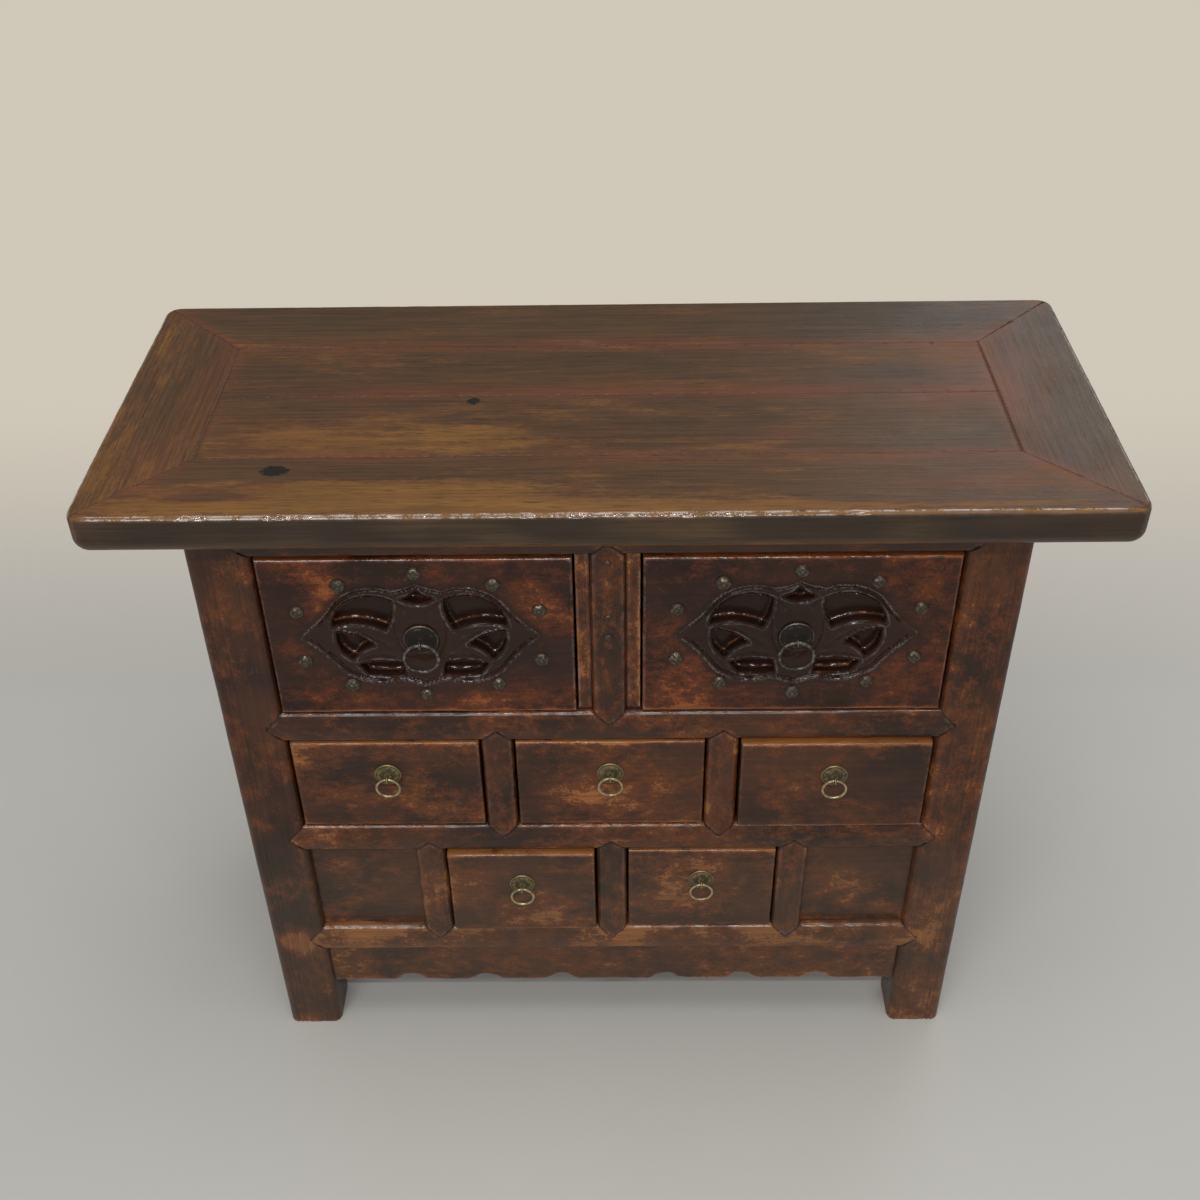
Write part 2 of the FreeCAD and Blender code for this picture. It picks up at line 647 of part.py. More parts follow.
# Runners and guides
def runner(x0, x1, level):
    """Flat bar under the drawers' sides, with stubs in the front and rear rails."""
    return box(x0, x1, RAIL_BACK - RUNNER_STUB, REAR_RAIL_FRONT + RUNNER_STUB, level - RUNNER_THICKNESS, level)


def shared_runner(x, width, level):
    half = width / 2 + RUNNER_BEARING
    return runner(x - half, x + half, level)


def end_runners(level):
    right = runner(HALF_INNER - RUNNER_BEARING, HALF_INNER, level)
    return [mirrored(right), right]


def shared_guide(x, width, level):
    """Fence between two drawers, behind their divider."""
    half = width / 2 - GUIDE_CLEARANCE
    return box(x - half, x + half, RAIL_BACK, REAR_RAIL_FRONT, level, level + GUIDE_HEIGHT)


def end_guides(level):
    """Fences between the front and rear legs, flush with their inner faces."""
    right = box(
        HALF_INNER, HALF_INNER + GUIDE_WIDTH, FACE + LEG_DEPTH, REAR - LEG_DEPTH, level, level + GUIDE_HEIGHT)
    return [mirrored(right), right]


def runners_on(level):
    if level == UPPER_ROW_Z:
        return end_runners(level) + [shared_runner(0.0, UPPER_SPAN, level)]
    if level == MIDDLE_ROW_Z:
        shared = [shared_runner(side * MIDDLE_DIVIDER_X, DIVIDER_WIDTH, level) for side in SIDES]
        return end_runners(level) + shared
    return [shared_runner(x, DIVIDER_WIDTH, level) for x in (-LOWER_DIVIDER_X, 0.0, LOWER_DIVIDER_X)]


def guides_on(level):
    if level == UPPER_ROW_Z:
        return end_guides(level) + [shared_guide(0.0, UPPER_SPAN, level)]
    if level == MIDDLE_ROW_Z:
        shared = [shared_guide(side * MIDDLE_DIVIDER_X, DIVIDER_WIDTH, level) for side in SIDES]
        return end_guides(level) + shared
    return [shared_guide(x, DIVIDER_WIDTH, level) for x in (-LOWER_DIVIDER_X, 0.0, LOWER_DIVIDER_X)]


# Carving on the upper drawers' fronts
def carved_points(drawer, outline, side=RIGHT, grow=0.0):
    """An outline of the carving at its place on a drawer's face."""
    half_length = CARTOUCHE_LENGTH / 2 + grow
    half_height = CARTOUCHE_HEIGHT / 2 + grow
    middle = drawer.middle + CARTOUCHE_RISE
    return [
        Vector(drawer.x + side * point[0] * half_length, drawer.face, middle + point[1] * half_height)
        if point else None for point in outline]


def cartouche(drawer, grow):
    """Solid under the pointed outline of the cartouche, as deep as its border."""
    edges = []
    for side in SIDES:
        for end in (-1, 1):
            quarter = [(point[0], end * point[1]) for point in CARTOUCHE_QUARTER]
            edges += edges_along(carved_points(drawer, quarter, side, grow))
    wire = Part.Wire(Part.__sortEdges__(edges))
    return Part.Face(wire).extrude(Vector(0, BORDER_DEPTH, 0))


def carving_cuts(drawer):
    """Border channel and the deep windows between the leaves."""
    cuts = [cartouche(drawer, 0.0).cut(cartouche(drawer, -BORDER_WIDTH))]
    depth = Vector(0, WINDOW_DEPTH, 0)
    cuts.append(prism(carved_points(drawer, BUD_WINDOW), depth))
    for side in SIDES:
        for window in (LEAF_WINDOW, TIP_WINDOW, FOOT_WINDOW):
            cuts.append(prism(carved_points(drawer, window, side), depth))
    return cuts


def stud(face, x, z):
    """Domed nail head on a drawer's face."""
    radius = STUD / 2
    crown = face - STUD_RISE
    profile = [
        (0.0, crown), (radius * 0.68, face - STUD_RISE * 0.72), (radius, face), None, (0.0, face), None, (0.0, crown)]
    return turned(profile, x, z)


def studs(drawer):
    """Ten studs in an oval round the carving."""
    places = [(0.0, end * STUD_PEAK_Z) for end in (-1, 1)]
    for side in SIDES:
        for end in (-1, 1):
            places.append((side * STUD_MIDDLE_X, end * STUD_MIDDLE_Z))
            places.append((side * STUD_END_X, end * STUD_END_Z))
    return [stud(drawer.face, drawer.x + x, drawer.middle + CARTOUCHE_RISE + z) for x, z in places]


# Drawers
def drawer_sides(drawer):
    sides = []
    for side in SIDES:
        low, high = sorted((drawer.half_box * side, (drawer.half_box - DRAWER_SIDE) * side))
        sides.append(box(
            drawer.x + low, drawer.x + high, drawer.back_of_front - FRONT_HOUSING, DRAWER_REAR,
            drawer.floor + RUNNING_CLEARANCE, drawer.side_top))
    return sides


def drawer_bottom(drawer):
    half = drawer.half_box - DRAWER_SIDE + BOTTOM_GROOVE
    return box(
        drawer.x - half, drawer.x + half, drawer.back_of_front - BOTTOM_GROOVE, DRAWER_REAR,
        drawer.floor + BOTTOM_RAISE, drawer.bottom_top)


def drawer_back(drawer):
    half = drawer.half_box - DRAWER_SIDE + BACK_HOUSING
    rear = DRAWER_REAR - BACK_INSET
    return box(
        drawer.x - half, drawer.x + half, rear - DRAWER_BACK, rear, drawer.bottom_top, drawer.side_top - BACK_DROP)


def drawer_box(drawer):
    bottom = drawer_bottom(drawer)
    back = drawer_back(drawer)
    sides = [board.cut([bottom, back]) for board in drawer_sides(drawer)]
    return sides + [back, bottom]


def drawer_front(drawer):
    board = box(
        drawer.x - drawer.half_front, drawer.x + drawer.half_front, drawer.face, drawer.back_of_front,
        drawer.floor + DRAWER_GAP, drawer.floor + drawer.height - DRAWER_GAP)
    arrises = [edge for edge in board.Edges if abs(edge.BoundBox.YMax - drawer.face) < SAME_PLACE]
    board = board.makeFillet(FRONT_ARRIS, arrises)
    shank_hole = Part.makeCylinder(
        SHANK / 2 + SHANK_CLEARANCE, drawer.back_of_front - drawer.face,
        Vector(drawer.x, drawer.face, drawer.pull_z), Vector(0, 1, 0))
    cuts = drawer_sides(drawer) + [drawer_bottom(drawer), shank_hole]
    if drawer.carved:
        cuts += carving_cuts(drawer)
    return board.cut(cuts)


# Ring pulls
def pull_plate(drawer):
    """Domed round plate on the drawer's face."""
    radius = drawer.plate / 2
    hole = SHANK / 2 + SHANK_CLEARANCE
    face = drawer.face
    shoulder = face - PLATE_RIM
    crown = face - drawer.plate_rise
    dome_point = ((radius + hole) * 0.52, shoulder + (crown - shoulder) * 0.72)
    profile = [
        (hole, face), None, (radius, face), None, (radius, shoulder), dome_point, (hole, crown), None, (hole, face)]
    return turned(profile, drawer.x, drawer.pull_z)


def split_pin(drawer):
    """Eye in front of the plate, a shank through the front and two prongs clenched behind it."""
    eye_centre = Vector(drawer.x, drawer.eye_y, drawer.pull_z)
    eye = Part.makeTorus(drawer.eye_radius, EYE_WIRE / 2, eye_centre, Vector(1, 0, 0))
    start = drawer.eye_y + drawer.eye_radius
    length = drawer.back_of_front + PRONG_THICKNESS - start
    shank = Part.makeCylinder(SHANK / 2, length, Vector(drawer.x, start, drawer.pull_z), Vector(0, 1, 0))
    prongs = box(
        drawer.x - PRONG_WIDTH / 2, drawer.x + PRONG_WIDTH / 2,
        drawer.back_of_front, drawer.back_of_front + PRONG_THICKNESS,
        drawer.pull_z - PRONG_LENGTH, drawer.pull_z + PRONG_LENGTH)
    return eye.multiFuse([shank, prongs])


def ring(drawer):
    """Ring that hangs in the eye."""
    radius = (drawer.ring - drawer.wire) / 2
    return Part.makeTorus(
        radius, drawer.wire / 2, Vector(drawer.x, drawer.eye_y, drawer.pull_z - radius), Vector(0, 1, 0))


# Assembly
ROW_LEVELS = [(LOWER_ROW_Z, MIDDLE_RAIL_Z), (MIDDLE_ROW_Z, UPPER_RAIL_Z), (UPPER_ROW_Z, TOP_RAIL_Z)]
DIVIDERS = {
    "upper_divider": [(0.0, UPPER_DIVIDER_WIDTH, UPPER_ROW_Z, TOP_RAIL_Z)],
    "middle_dividers": [
        (side * MIDDLE_DIVIDER_X, DIVIDER_WIDTH, MIDDLE_ROW_Z, UPPER_RAIL_Z) for side in SIDES],
    "lower_dividers": [
        (x, DIVIDER_WIDTH, LOWER_ROW_Z, MIDDLE_RAIL_Z) for x in (-LOWER_DIVIDER_X, 0.0, LOWER_DIVIDER_X)],
}


def top_nodes():
    nodes = {name: [member] for name, member in top_frame().items()}
    front_board, rear_board = top_boards()
    nodes["top_board_front"] = [front_board]
    nodes["top_board_rear"] = [rear_board]
    nodes["top_battens"] = top_battens()
    return nodes


def front_nodes():
    panels = [fixed_panel(side) for side in SIDES]
    runners = [bar for level, _ in ROW_LEVELS for bar in runners_on(level)]
    ends = [piece for group in DIVIDERS.values() for item in group for piece in divider_ends(*item)]
    rail_cuts = ends + panels + runners + [apron_tongue()]
    nodes = {name: [front_rail(*levels).cut(rail_cuts)] for name, levels in RAIL_LEVELS.items()}
    divider_cuts = panels + [nail_hole(height) for height in NAIL_HEIGHTS]
    for name, group in DIVIDERS.items():
        nodes[name] = [divider(*item).cut(divider_cuts) for item in group]
    nodes["upper_divider_strips"] = [divider_strip(side) for side in SIDES]
    nodes["upper_divider_nails"] = [nail(height) for height in NAIL_HEIGHTS]
    nodes["fixed_panels"] = panels
    nodes["apron"] = [apron()]
    return nodes


def carcass_nodes():
    runners = [bar for level, _ in ROW_LEVELS for bar in runners_on(level)]
    boards = [back_board(*levels) for levels in ROW_LEVELS]
    side_levels = ((TOP_RAIL_Z, TOP_Z), (LOWER_RAIL_Z, LOWER_ROW_Z))
    return {
        "leg_front_left": [front_leg(LEFT)],
        "leg_front_right": [front_leg(RIGHT)],
        "leg_rear_left": [rear_leg(LEFT)],
        "leg_rear_right": [rear_leg(RIGHT)],
        "side_panel_left": [side_panel(LEFT)],
        "side_panel_right": [side_panel(RIGHT)],
        "side_rails": [side_rail(side, *levels) for side in SIDES for levels in side_levels],
        "rear_rails": [rear_rail(*levels).cut(runners + boards) for levels in RAIL_LEVELS.values()],
        "back_boards": boards,
        "drawer_runners": runners,
        "drawer_guides": [fence for level, _ in ROW_LEVELS for fence in guides_on(level)],
    }


def drawer_nodes():
    nodes = {}
    for name, drawer in DRAWERS.items():
        nodes[name + "_drawer_front"] = [drawer_front(drawer)]
        nodes[name + "_drawer_box"] = drawer_box(drawer)
        nodes[name + "_pull"] = [pull_plate(drawer), split_pin(drawer)]
        nodes[name + "_ring"] = [ring(drawer)]
        if drawer.carved:
            nodes[name + "_studs"] = studs(drawer)
    return nodes


def main():
    os.makedirs("parts", exist_ok=True)
    for nodes in (top_nodes(), front_nodes(), carcass_nodes(), drawer_nodes()):
        for name, shapes in nodes.items():
            solids = [solid for shape in shapes for solid in shape.Solids]
            shape = solids[0] if len(solids) == 1 else Part.makeCompound(solids)
            shape.exportStep("parts/" + name + ".step")


main()
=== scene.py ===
"""Looks of an old Chinese elm chest of drawers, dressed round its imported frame.

Every lacquered board is softened, chipped and rubbed from its node's own shape. The two upper fronts are
carved, and studs, nails and ring pulls are modelled in metal. Metres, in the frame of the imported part.
"""

import json
import logging
import math
from dataclasses import dataclass, field
from enum import Enum
from typing import Any, ClassVar, NamedTuple

import bmesh
import bpy
import numpy as np
from mathutils import Euler, Matrix, Vector
from mathutils.bvhtree import BVHTree
from mathutils.kdtree import KDTree

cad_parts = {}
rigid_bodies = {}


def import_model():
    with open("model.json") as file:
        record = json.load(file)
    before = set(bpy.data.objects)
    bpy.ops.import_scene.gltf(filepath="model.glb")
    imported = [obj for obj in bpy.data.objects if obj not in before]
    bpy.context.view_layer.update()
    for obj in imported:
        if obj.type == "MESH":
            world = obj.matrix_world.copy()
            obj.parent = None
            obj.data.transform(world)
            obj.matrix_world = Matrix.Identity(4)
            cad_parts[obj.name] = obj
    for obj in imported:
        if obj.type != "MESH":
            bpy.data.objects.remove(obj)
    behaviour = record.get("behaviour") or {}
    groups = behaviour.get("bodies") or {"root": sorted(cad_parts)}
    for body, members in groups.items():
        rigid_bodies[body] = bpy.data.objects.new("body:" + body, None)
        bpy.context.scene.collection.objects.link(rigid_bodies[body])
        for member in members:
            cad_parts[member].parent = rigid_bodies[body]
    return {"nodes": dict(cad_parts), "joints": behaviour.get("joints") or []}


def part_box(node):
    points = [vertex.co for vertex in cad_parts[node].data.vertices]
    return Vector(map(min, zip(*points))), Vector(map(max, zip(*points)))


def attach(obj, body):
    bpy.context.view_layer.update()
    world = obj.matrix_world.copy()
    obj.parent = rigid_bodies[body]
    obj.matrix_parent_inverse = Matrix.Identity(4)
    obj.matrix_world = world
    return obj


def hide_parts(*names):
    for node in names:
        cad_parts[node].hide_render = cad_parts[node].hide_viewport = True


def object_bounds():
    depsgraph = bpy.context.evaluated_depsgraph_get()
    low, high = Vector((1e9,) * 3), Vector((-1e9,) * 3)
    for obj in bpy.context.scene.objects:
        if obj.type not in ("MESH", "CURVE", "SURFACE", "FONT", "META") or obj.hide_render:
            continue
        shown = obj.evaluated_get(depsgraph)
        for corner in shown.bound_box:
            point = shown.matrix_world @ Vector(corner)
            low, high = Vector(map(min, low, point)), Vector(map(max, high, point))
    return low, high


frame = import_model()
CAD_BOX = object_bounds()
CARCASS = "carcass"
MERGE = 1e-6
SHARP = math.radians(35)
PIECE_STEP = (3.17, 1.93, 2.41)
NODE_BOXES = {name: tuple(np.array(corner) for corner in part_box(name)) for name in frame["nodes"]}
log = logging.getLogger("chest")

Colour = tuple[float, float, float]
Place = tuple[float, float, float]
Outline = tuple[tuple[float, float] | None, ...]
Profile = tuple[tuple[float, float], ...]
Span = tuple[float, float]
Amounts = dict[str, float]


class Slot(Enum):
    """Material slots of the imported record."""

    LACQUERED = "lacquered_elm"
    BARE = "bare_elm"
    IRON = "iron"
    BRASS = "brass"


class Grain(Enum):
    """Which way a board's grain runs, as the turn that brings that way to X."""

    ALONG_X = (0.0, 0.0, 0.0)
    ALONG_Y = (0.0, 0.0, -math.pi / 2)
    ALONG_Z = (0.0, math.pi / 2, 0.0)


# Node trees


class Layer(NamedTuple):
    """One of several noises that are added up."""

    scale: float
    detail: float
    rough: float
    share: float


def weighed(parts: Any, weights: Amounts) -> list[tuple[Any, float]]:
    """Pick values by name, each with its weight.

    Args:
        parts: Sockets by name.
        weights: Amounts by the same names.

    Returns:
        Pairs of a value and its weight.
    """
    return [(parts[name], weight) for name, weight in weights.items()]


class Sheet:
    """A node tree in the making, with short ways to add nodes and to join them."""

    def __init__(self, tree: bpy.types.NodeTree) -> None:
        """Start on a tree.

        Args:
            tree: The shader or geometry tree to draw on.
        """
        self.tree = tree

    def feed(self, socket: bpy.types.NodeSocket, value: Any) -> None:
        """Join a socket to another one, or set its constant.

        Args:
            socket: The input to fill.
            value: An output socket, or a constant.
        """
        if isinstance(value, bpy.types.NodeSocket):
            self.tree.links.new(value, socket)
        elif isinstance(value, tuple) and len(value) == 3 and socket.type == "RGBA":
            socket.default_value = (*value, 1.0)
        else:
            socket.default_value = value

    def add(self, kind: str, inputs: dict[str | int, Any] | None = None, **settings: Any) -> bpy.types.Node:
        """Add a node.

        Args:
            kind: The node's type name.
            inputs: Values or sockets for its inputs, by name or number.
            **settings: Properties of the node.

        Returns:
            The new node.
        """
        node = self.tree.nodes.new(kind)
        for name, value in settings.items():
            setattr(node, name, value)
        for key, value in (inputs or {}).items():
            self.feed(node.inputs[key], value)
        return node

    def math(
        self, operation: str, first: Any, second: Any = 0.0, clamp: bool = False,
    ) -> bpy.types.NodeSocket:
        """Join two values by a sum.

        Args:
            operation: The Math node's operation.
            first: First value.
            second: Second value.
            clamp: Whether the result is kept between 0 and 1.

        Returns:
            The result's socket.
        """
        node = self.add("ShaderNodeMath", {0: first, 1: second}, operation=operation, use_clamp=clamp)
        return node.outputs[0]

    def total(self, *shares: tuple[Any, float]) -> bpy.types.NodeSocket:
        """Add values up, each with its own weight.

        Args:
            *shares: Pairs of a value and its weight.

        Returns:
            The sum's socket.
        """
        result: Any = 0.0
        for value, weight in shares:
            node = self.add("ShaderNodeMath", {0: value, 1: weight, 2: result}, operation="MULTIPLY_ADD")
            result = node.outputs[0]
        return result

    def vector(self, operation: str, first: Any, second: Any) -> bpy.types.NodeSocket:
        """Join two vectors, or scale one.

        Args:
            operation: The Vector Math node's operation.
            first: First vector.
            second: Second vector, or the factor of SCALE.

        Returns:
            The result's socket.
        """
        key = "Scale" if operation == "SCALE" else 1
        return self.add("ShaderNodeVectorMath", {0: first, key: second}, operation=operation).outputs[0]

    def mix(self, share: Any, first: Any, second: Any, blend: str = "MIX") -> bpy.types.NodeSocket:
        """Blend two colours.

        Args:
            share: How much of the second colour.
            first: First colour.
            second: Second colour.
            blend: The Mix node's blend type.

        Returns:
            The blended colour's socket.
        """
        node = self.add("ShaderNodeMix", {0: share, 6: first, 7: second}, data_type="RGBA", blend_type=blend)
        return node.outputs[2]

    def noise(self, vector: Any, scale: Any, detail: float = 3.0, rough: float = 0.5) -> bpy.types.NodeSocket:
        """Noise between 0 and 1.

        Args:
            vector: Where it is read.
            scale: Lumps per metre.
            detail: Octaves.
            rough: How strong the finer octaves are.

        Returns:
            The noise's socket.
        """
        inputs = {"Vector": vector, "Scale": scale, "Detail": detail, "Roughness": rough}
        return self.add("ShaderNodeTexNoise", inputs).outputs[0]

    def layers(self, vector: Any, layers: tuple[Layer, ...]) -> list[tuple[bpy.types.NodeSocket, float]]:
        """Noises at several scales.

        Args:
            vector: Where they are read.
            layers: Each noise's values.

        Returns:
            Pairs of a noise and its weight.
        """
        return [(self.noise(vector, layer.scale, layer.detail, layer.rough), layer.share) for layer in layers]

    def smooth(self, value: Any, low: Any, high: Any) -> bpy.types.NodeSocket:
        """Ease a value from 0 at low to 1 at high.

        Args:
            value: The value.
            low: Where the result is 0.
            high: Where the result is 1.

        Returns:
            The eased value's socket.
        """
        inputs = {"Value": value, "From Min": low, "From Max": high}
        return self.add("ShaderNodeMapRange", inputs, interpolation_type="SMOOTHSTEP").outputs[0]

    def mark(self, name: str) -> bpy.types.NodeSocket:
        """A value that the mesh carries on its points.

        Args:
            name: The attribute's name.

        Returns:
            The value's socket.
        """
        return self.add("ShaderNodeAttribute", attribute_name=name).outputs["Fac"]


class Effect:
    """A shader group that several finishes place with their own values."""

    name: ClassVar[str]
    inputs: ClassVar[dict[str, str]]
    outputs: ClassVar[tuple[str, ...]]

    @classmethod
    def draw(cls, sheet: Sheet, given: Any) -> dict[str, bpy.types.NodeSocket]:
        """Draw the group's nodes.

        Args:
            sheet: The group's tree.
            given: The group's inputs, by name.

        Returns:
            What goes to each output, by name.
        """
        raise NotImplementedError

    @classmethod
    def tree(cls) -> bpy.types.NodeTree:
        """The group's tree, built on first use.

        Returns:
            The tree.
        """
        found = bpy.data.node_groups.get(cls.name)
        if found:
            return found
        tree = bpy.data.node_groups.new(cls.name, "ShaderNodeTree")
        for name, kind in cls.inputs.items():
            tree.interface.new_socket(name, in_out="INPUT", socket_type=kind)
        for name in cls.outputs:
            tree.interface.new_socket(name, in_out="OUTPUT", socket_type="NodeSocketFloat")
        sheet = Sheet(tree)
        given = sheet.add("NodeGroupInput").outputs
        sheet.add("NodeGroupOutput", cls.draw(sheet, given))
        return tree

    @classmethod
    def place(cls, sheet: Sheet, inputs: dict[str, Any]) -> Any:
        """Place the group in a finish.

        Args:
            sheet: The finish's tree.
            inputs: Values or sockets for the group's inputs.

        Returns:
            The group's outputs, by name.
        """
        node = sheet.add("ShaderNodeGroup", node_tree=cls.tree())
        for name, value in inputs.items():
            sheet.feed(node.inputs[name], value)
        return node.outputs


class ElmGrain(Effect):
    """Growth rings that wander along the board, fine streaks and short dark pores."""

    name = "Elm Grain"
    inputs = {"Vector": "NodeSocketVector", "Ring": "NodeSocketFloat"}
    outputs = ("Band", "Streak", "Pores")
    PITH: ClassVar[Place] = (0.0, 0.31, -0.47)
    WANDER: ClassVar[float] = 0.03
    WANDER_SCALE: ClassVar[Place] = (1.4, 6.0, 6.0)
    STREAK_SCALE: ClassVar[Place] = (9.0, 340.0, 340.0)
    PORE_SCALE: ClassVar[Place] = (34.0, 900.0, 900.0)
    RISE: ClassVar[Span] = (0.0, 0.75)
    FALL: ClassVar[Span] = (1.0, 0.9)
    STREAKS: ClassVar[Span] = (0.3, 0.7)
    PORES: ClassVar[Span] = (0.56, 0.7)
    FEWER_PORES: ClassVar[float] = -0.6

    @classmethod
    def draw(cls, sheet: Sheet, given: Any) -> dict[str, bpy.types.NodeSocket]:
        """Draw rings round a distant pith, with noise stretched along the grain.

        Args:
            sheet: The group's tree.
            given: The group's inputs, by name.

        Returns:
            What goes to each output, by name.
        """
        place = given["Vector"]
        wander = sheet.noise(sheet.vector("MULTIPLY", place, cls.WANDER_SCALE), 1.0, 3.0)
        across = sheet.vector("MULTIPLY", sheet.vector("ADD", place, cls.PITH), (0.0, 1.0, 1.0))
        radius = sheet.add("ShaderNodeVectorMath", {0: across}, operation="LENGTH").outputs["Value"]
        radius = sheet.total((radius, 1.0), (wander, cls.WANDER))
        turns = sheet.math("DIVIDE", radius, given["Ring"])
        saw = sheet.math("FRACT", turns)
        band = sheet.math("MULTIPLY", sheet.smooth(saw, *cls.RISE), sheet.smooth(saw, *cls.FALL))
        streak = sheet.noise(sheet.vector("MULTIPLY", place, cls.STREAK_SCALE), 1.0, 4.0, 0.65)
        pore = sheet.noise(sheet.vector("MULTIPLY", place, cls.PORE_SCALE), 1.0, 1.0)
        kept = sheet.total((band, cls.FEWER_PORES), (1.0, 1.0))
        pore = sheet.math("MULTIPLY", sheet.smooth(pore, *cls.PORES), kept)
        return {"Band": band, "Streak": sheet.smooth(streak, *cls.STREAKS), "Pores": pore}


class LacquerWear(Effect):
    """Where lacquer is rubbed thin, and where it is rubbed through to the wood."""

    name = "Lacquer Wear"
    inputs = {
        "Vector": "NodeSocketVector", "Stretch": "NodeSocketVector", "Blur": "NodeSocketFloat",
        "Worn": "NodeSocketFloat", "Edge": "NodeSocketFloat", "Hollow": "NodeSocketFloat"}
    outputs = ("Thin", "Bare", "Cloud")
    PATCHES: ClassVar[tuple[Layer, ...]] = (
        Layer(17.0, 4.0, 0.6, 0.45), Layer(80.0, 5.0, 0.7, 0.34), Layer(430.0, 3.0, 0.7, 0.21))
    MARKS: ClassVar[Amounts] = {"Worn": 0.42, "Edge": 0.13, "Hollow": -0.3}
    CLOUD_SCALE: ClassVar[float] = 9.0
    CLOUDS: ClassVar[Span] = (0.35, 0.65)
    THIN: ClassVar[Span] = (0.50, 0.64)
    BARE: ClassVar[Span] = (0.62, 0.655)

    @classmethod
    def draw(cls, sheet: Sheet, given: Any) -> dict[str, bpy.types.NodeSocket]:
        """Draw broad patches broken up by speckles, more of them on edges and rubbed places.

        Args:
            sheet: The group's tree.
            given: The group's inputs, by name.

        Returns:
            What goes to each output, by name.
        """
        stretched = sheet.vector("MULTIPLY", given["Vector"], given["Stretch"])
        level = sheet.total(*sheet.layers(stretched, cls.PATCHES), *weighed(given, cls.MARKS))
        cloud = sheet.smooth(sheet.noise(stretched, cls.CLOUD_SCALE, 4.0, 0.6), *cls.CLOUDS)
        less, more = sheet.total((given["Blur"], -1.0)), given["Blur"]
        thin, bare = (
            sheet.smooth(level, sheet.math("ADD", less, low), sheet.math("ADD", more, high))
            for low, high in (cls.THIN, cls.BARE))
        return {"Thin": thin, "Bare": bare, "Cloud": cloud}


class OldAge(Effect):
    """Fine scratches, small dents and broad stains."""

    name = "Old Age"
    inputs = {"Vector": "NodeSocketVector"}
    outputs = ("Scratch", "Dent", "Stain")
    LINE_SCALE: ClassVar[Place] = (7.0, 46.0, 46.0)
    LINE_MIDDLE: ClassVar[float] = 0.5
    LINE_WIDTH: ClassVar[Span] = (0.006, 0.001)
    BREAK_SCALE: ClassVar[float] = 38.0
    BREAKS: ClassVar[Span] = (0.52, 0.62)
    DENTS: ClassVar[tuple[Layer, ...]] = (
        Layer(45.0, 3.0, 0.5, 0.45), Layer(130.0, 3.0, 0.5, 0.33), Layer(520.0, 2.0, 0.5, 0.22))
    STAIN_SCALE: ClassVar[float] = 11.0
    STAINS: ClassVar[Span] = (0.42, 0.68)

    @classmethod
    def draw(cls, sheet: Sheet, given: Any) -> dict[str, bpy.types.NodeSocket]:
        """Draw thin lines where a stretched noise passes its middle, and lumps at three scales.

        Args:
            sheet: The group's tree.
            given: The group's inputs, by name.

        Returns:
            What goes to each output, by name.
        """
        place = given["Vector"]
        lines = sheet.noise(sheet.vector("MULTIPLY", place, cls.LINE_SCALE), 1.0, 2.0)
        apart = sheet.math("ABSOLUTE", sheet.math("SUBTRACT", lines, cls.LINE_MIDDLE))
        broken = sheet.smooth(sheet.noise(place, cls.BREAK_SCALE, 2.0), *cls.BREAKS)
        scratch = sheet.math("MULTIPLY", sheet.smooth(apart, *cls.LINE_WIDTH), broken)
        dent = sheet.total(*sheet.layers(place, cls.DENTS))
        stain = sheet.smooth(sheet.noise(place, cls.STAIN_SCALE, 4.0, 0.62), *cls.STAINS)
        return {"Scratch": scratch, "Dent": dent, "Stain": stain}


class Knot(Effect):
    """One dark oval mark with a ragged edge."""

    name = "Knot"
    inputs = {"Vector": "NodeSocketVector", "Centre": "NodeSocketVector", "Reach": "NodeSocketVector"}
    outputs = ("Knot",)
    RAGGED_SCALE: ClassVar[float] = 190.0
    RAGGED: ClassVar[float] = 0.9
    RIM: ClassVar[Span] = (1.5, 1.25)

    @classmethod
    def draw(cls, sheet: Sheet, given: Any) -> dict[str, bpy.types.NodeSocket]:
        """Draw the oval about its centre, uneven by a fine noise.

        Args:
            sheet: The group's tree.
            given: The group's inputs, by name.

        Returns:
            What goes to each output, by name.
        """
        apart = sheet.vector("SUBTRACT", given["Vector"], given["Centre"])
        share = sheet.vector("DIVIDE", apart, given["Reach"])
        far = sheet.add("ShaderNodeVectorMath", {0: share}, operation="LENGTH").outputs["Value"]
        ragged = sheet.noise(given["Vector"], cls.RAGGED_SCALE, 3.0)
        return {"Knot": sheet.smooth(sheet.total((far, 1.0), (ragged, cls.RAGGED)), *cls.RIM)}


# Finishes


def new_finish(name: str) -> tuple[bpy.types.Material, Sheet]:
    """Start a material with an empty tree.

    Args:
        name: The material's name.

    Returns:
        The material and its tree's sheet.
    """
    material = bpy.data.materials.new(name)
    material.use_nodes = True
    material.node_tree.nodes.clear()
    return material, Sheet(material.node_tree)


def close_finish(sheet: Sheet, inputs: dict[str, Any]) -> None:
    """End a material in its surface shader.

    Args:
        sheet: The material's tree.
        inputs: Values or sockets for the shader's inputs.
    """
    surface = sheet.add("ShaderNodeBsdfPrincipled", inputs)
    sheet.add("ShaderNodeOutputMaterial", {"Surface": surface.outputs["BSDF"]})


def by_name(*groups: Any) -> dict[str, bpy.types.NodeSocket]:
    """Gather what placed groups give.

    Args:
        *groups: The outputs of each group.

    Returns:
        The sockets by name.
    """
    return {socket.name: socket for group in groups for socket in group}


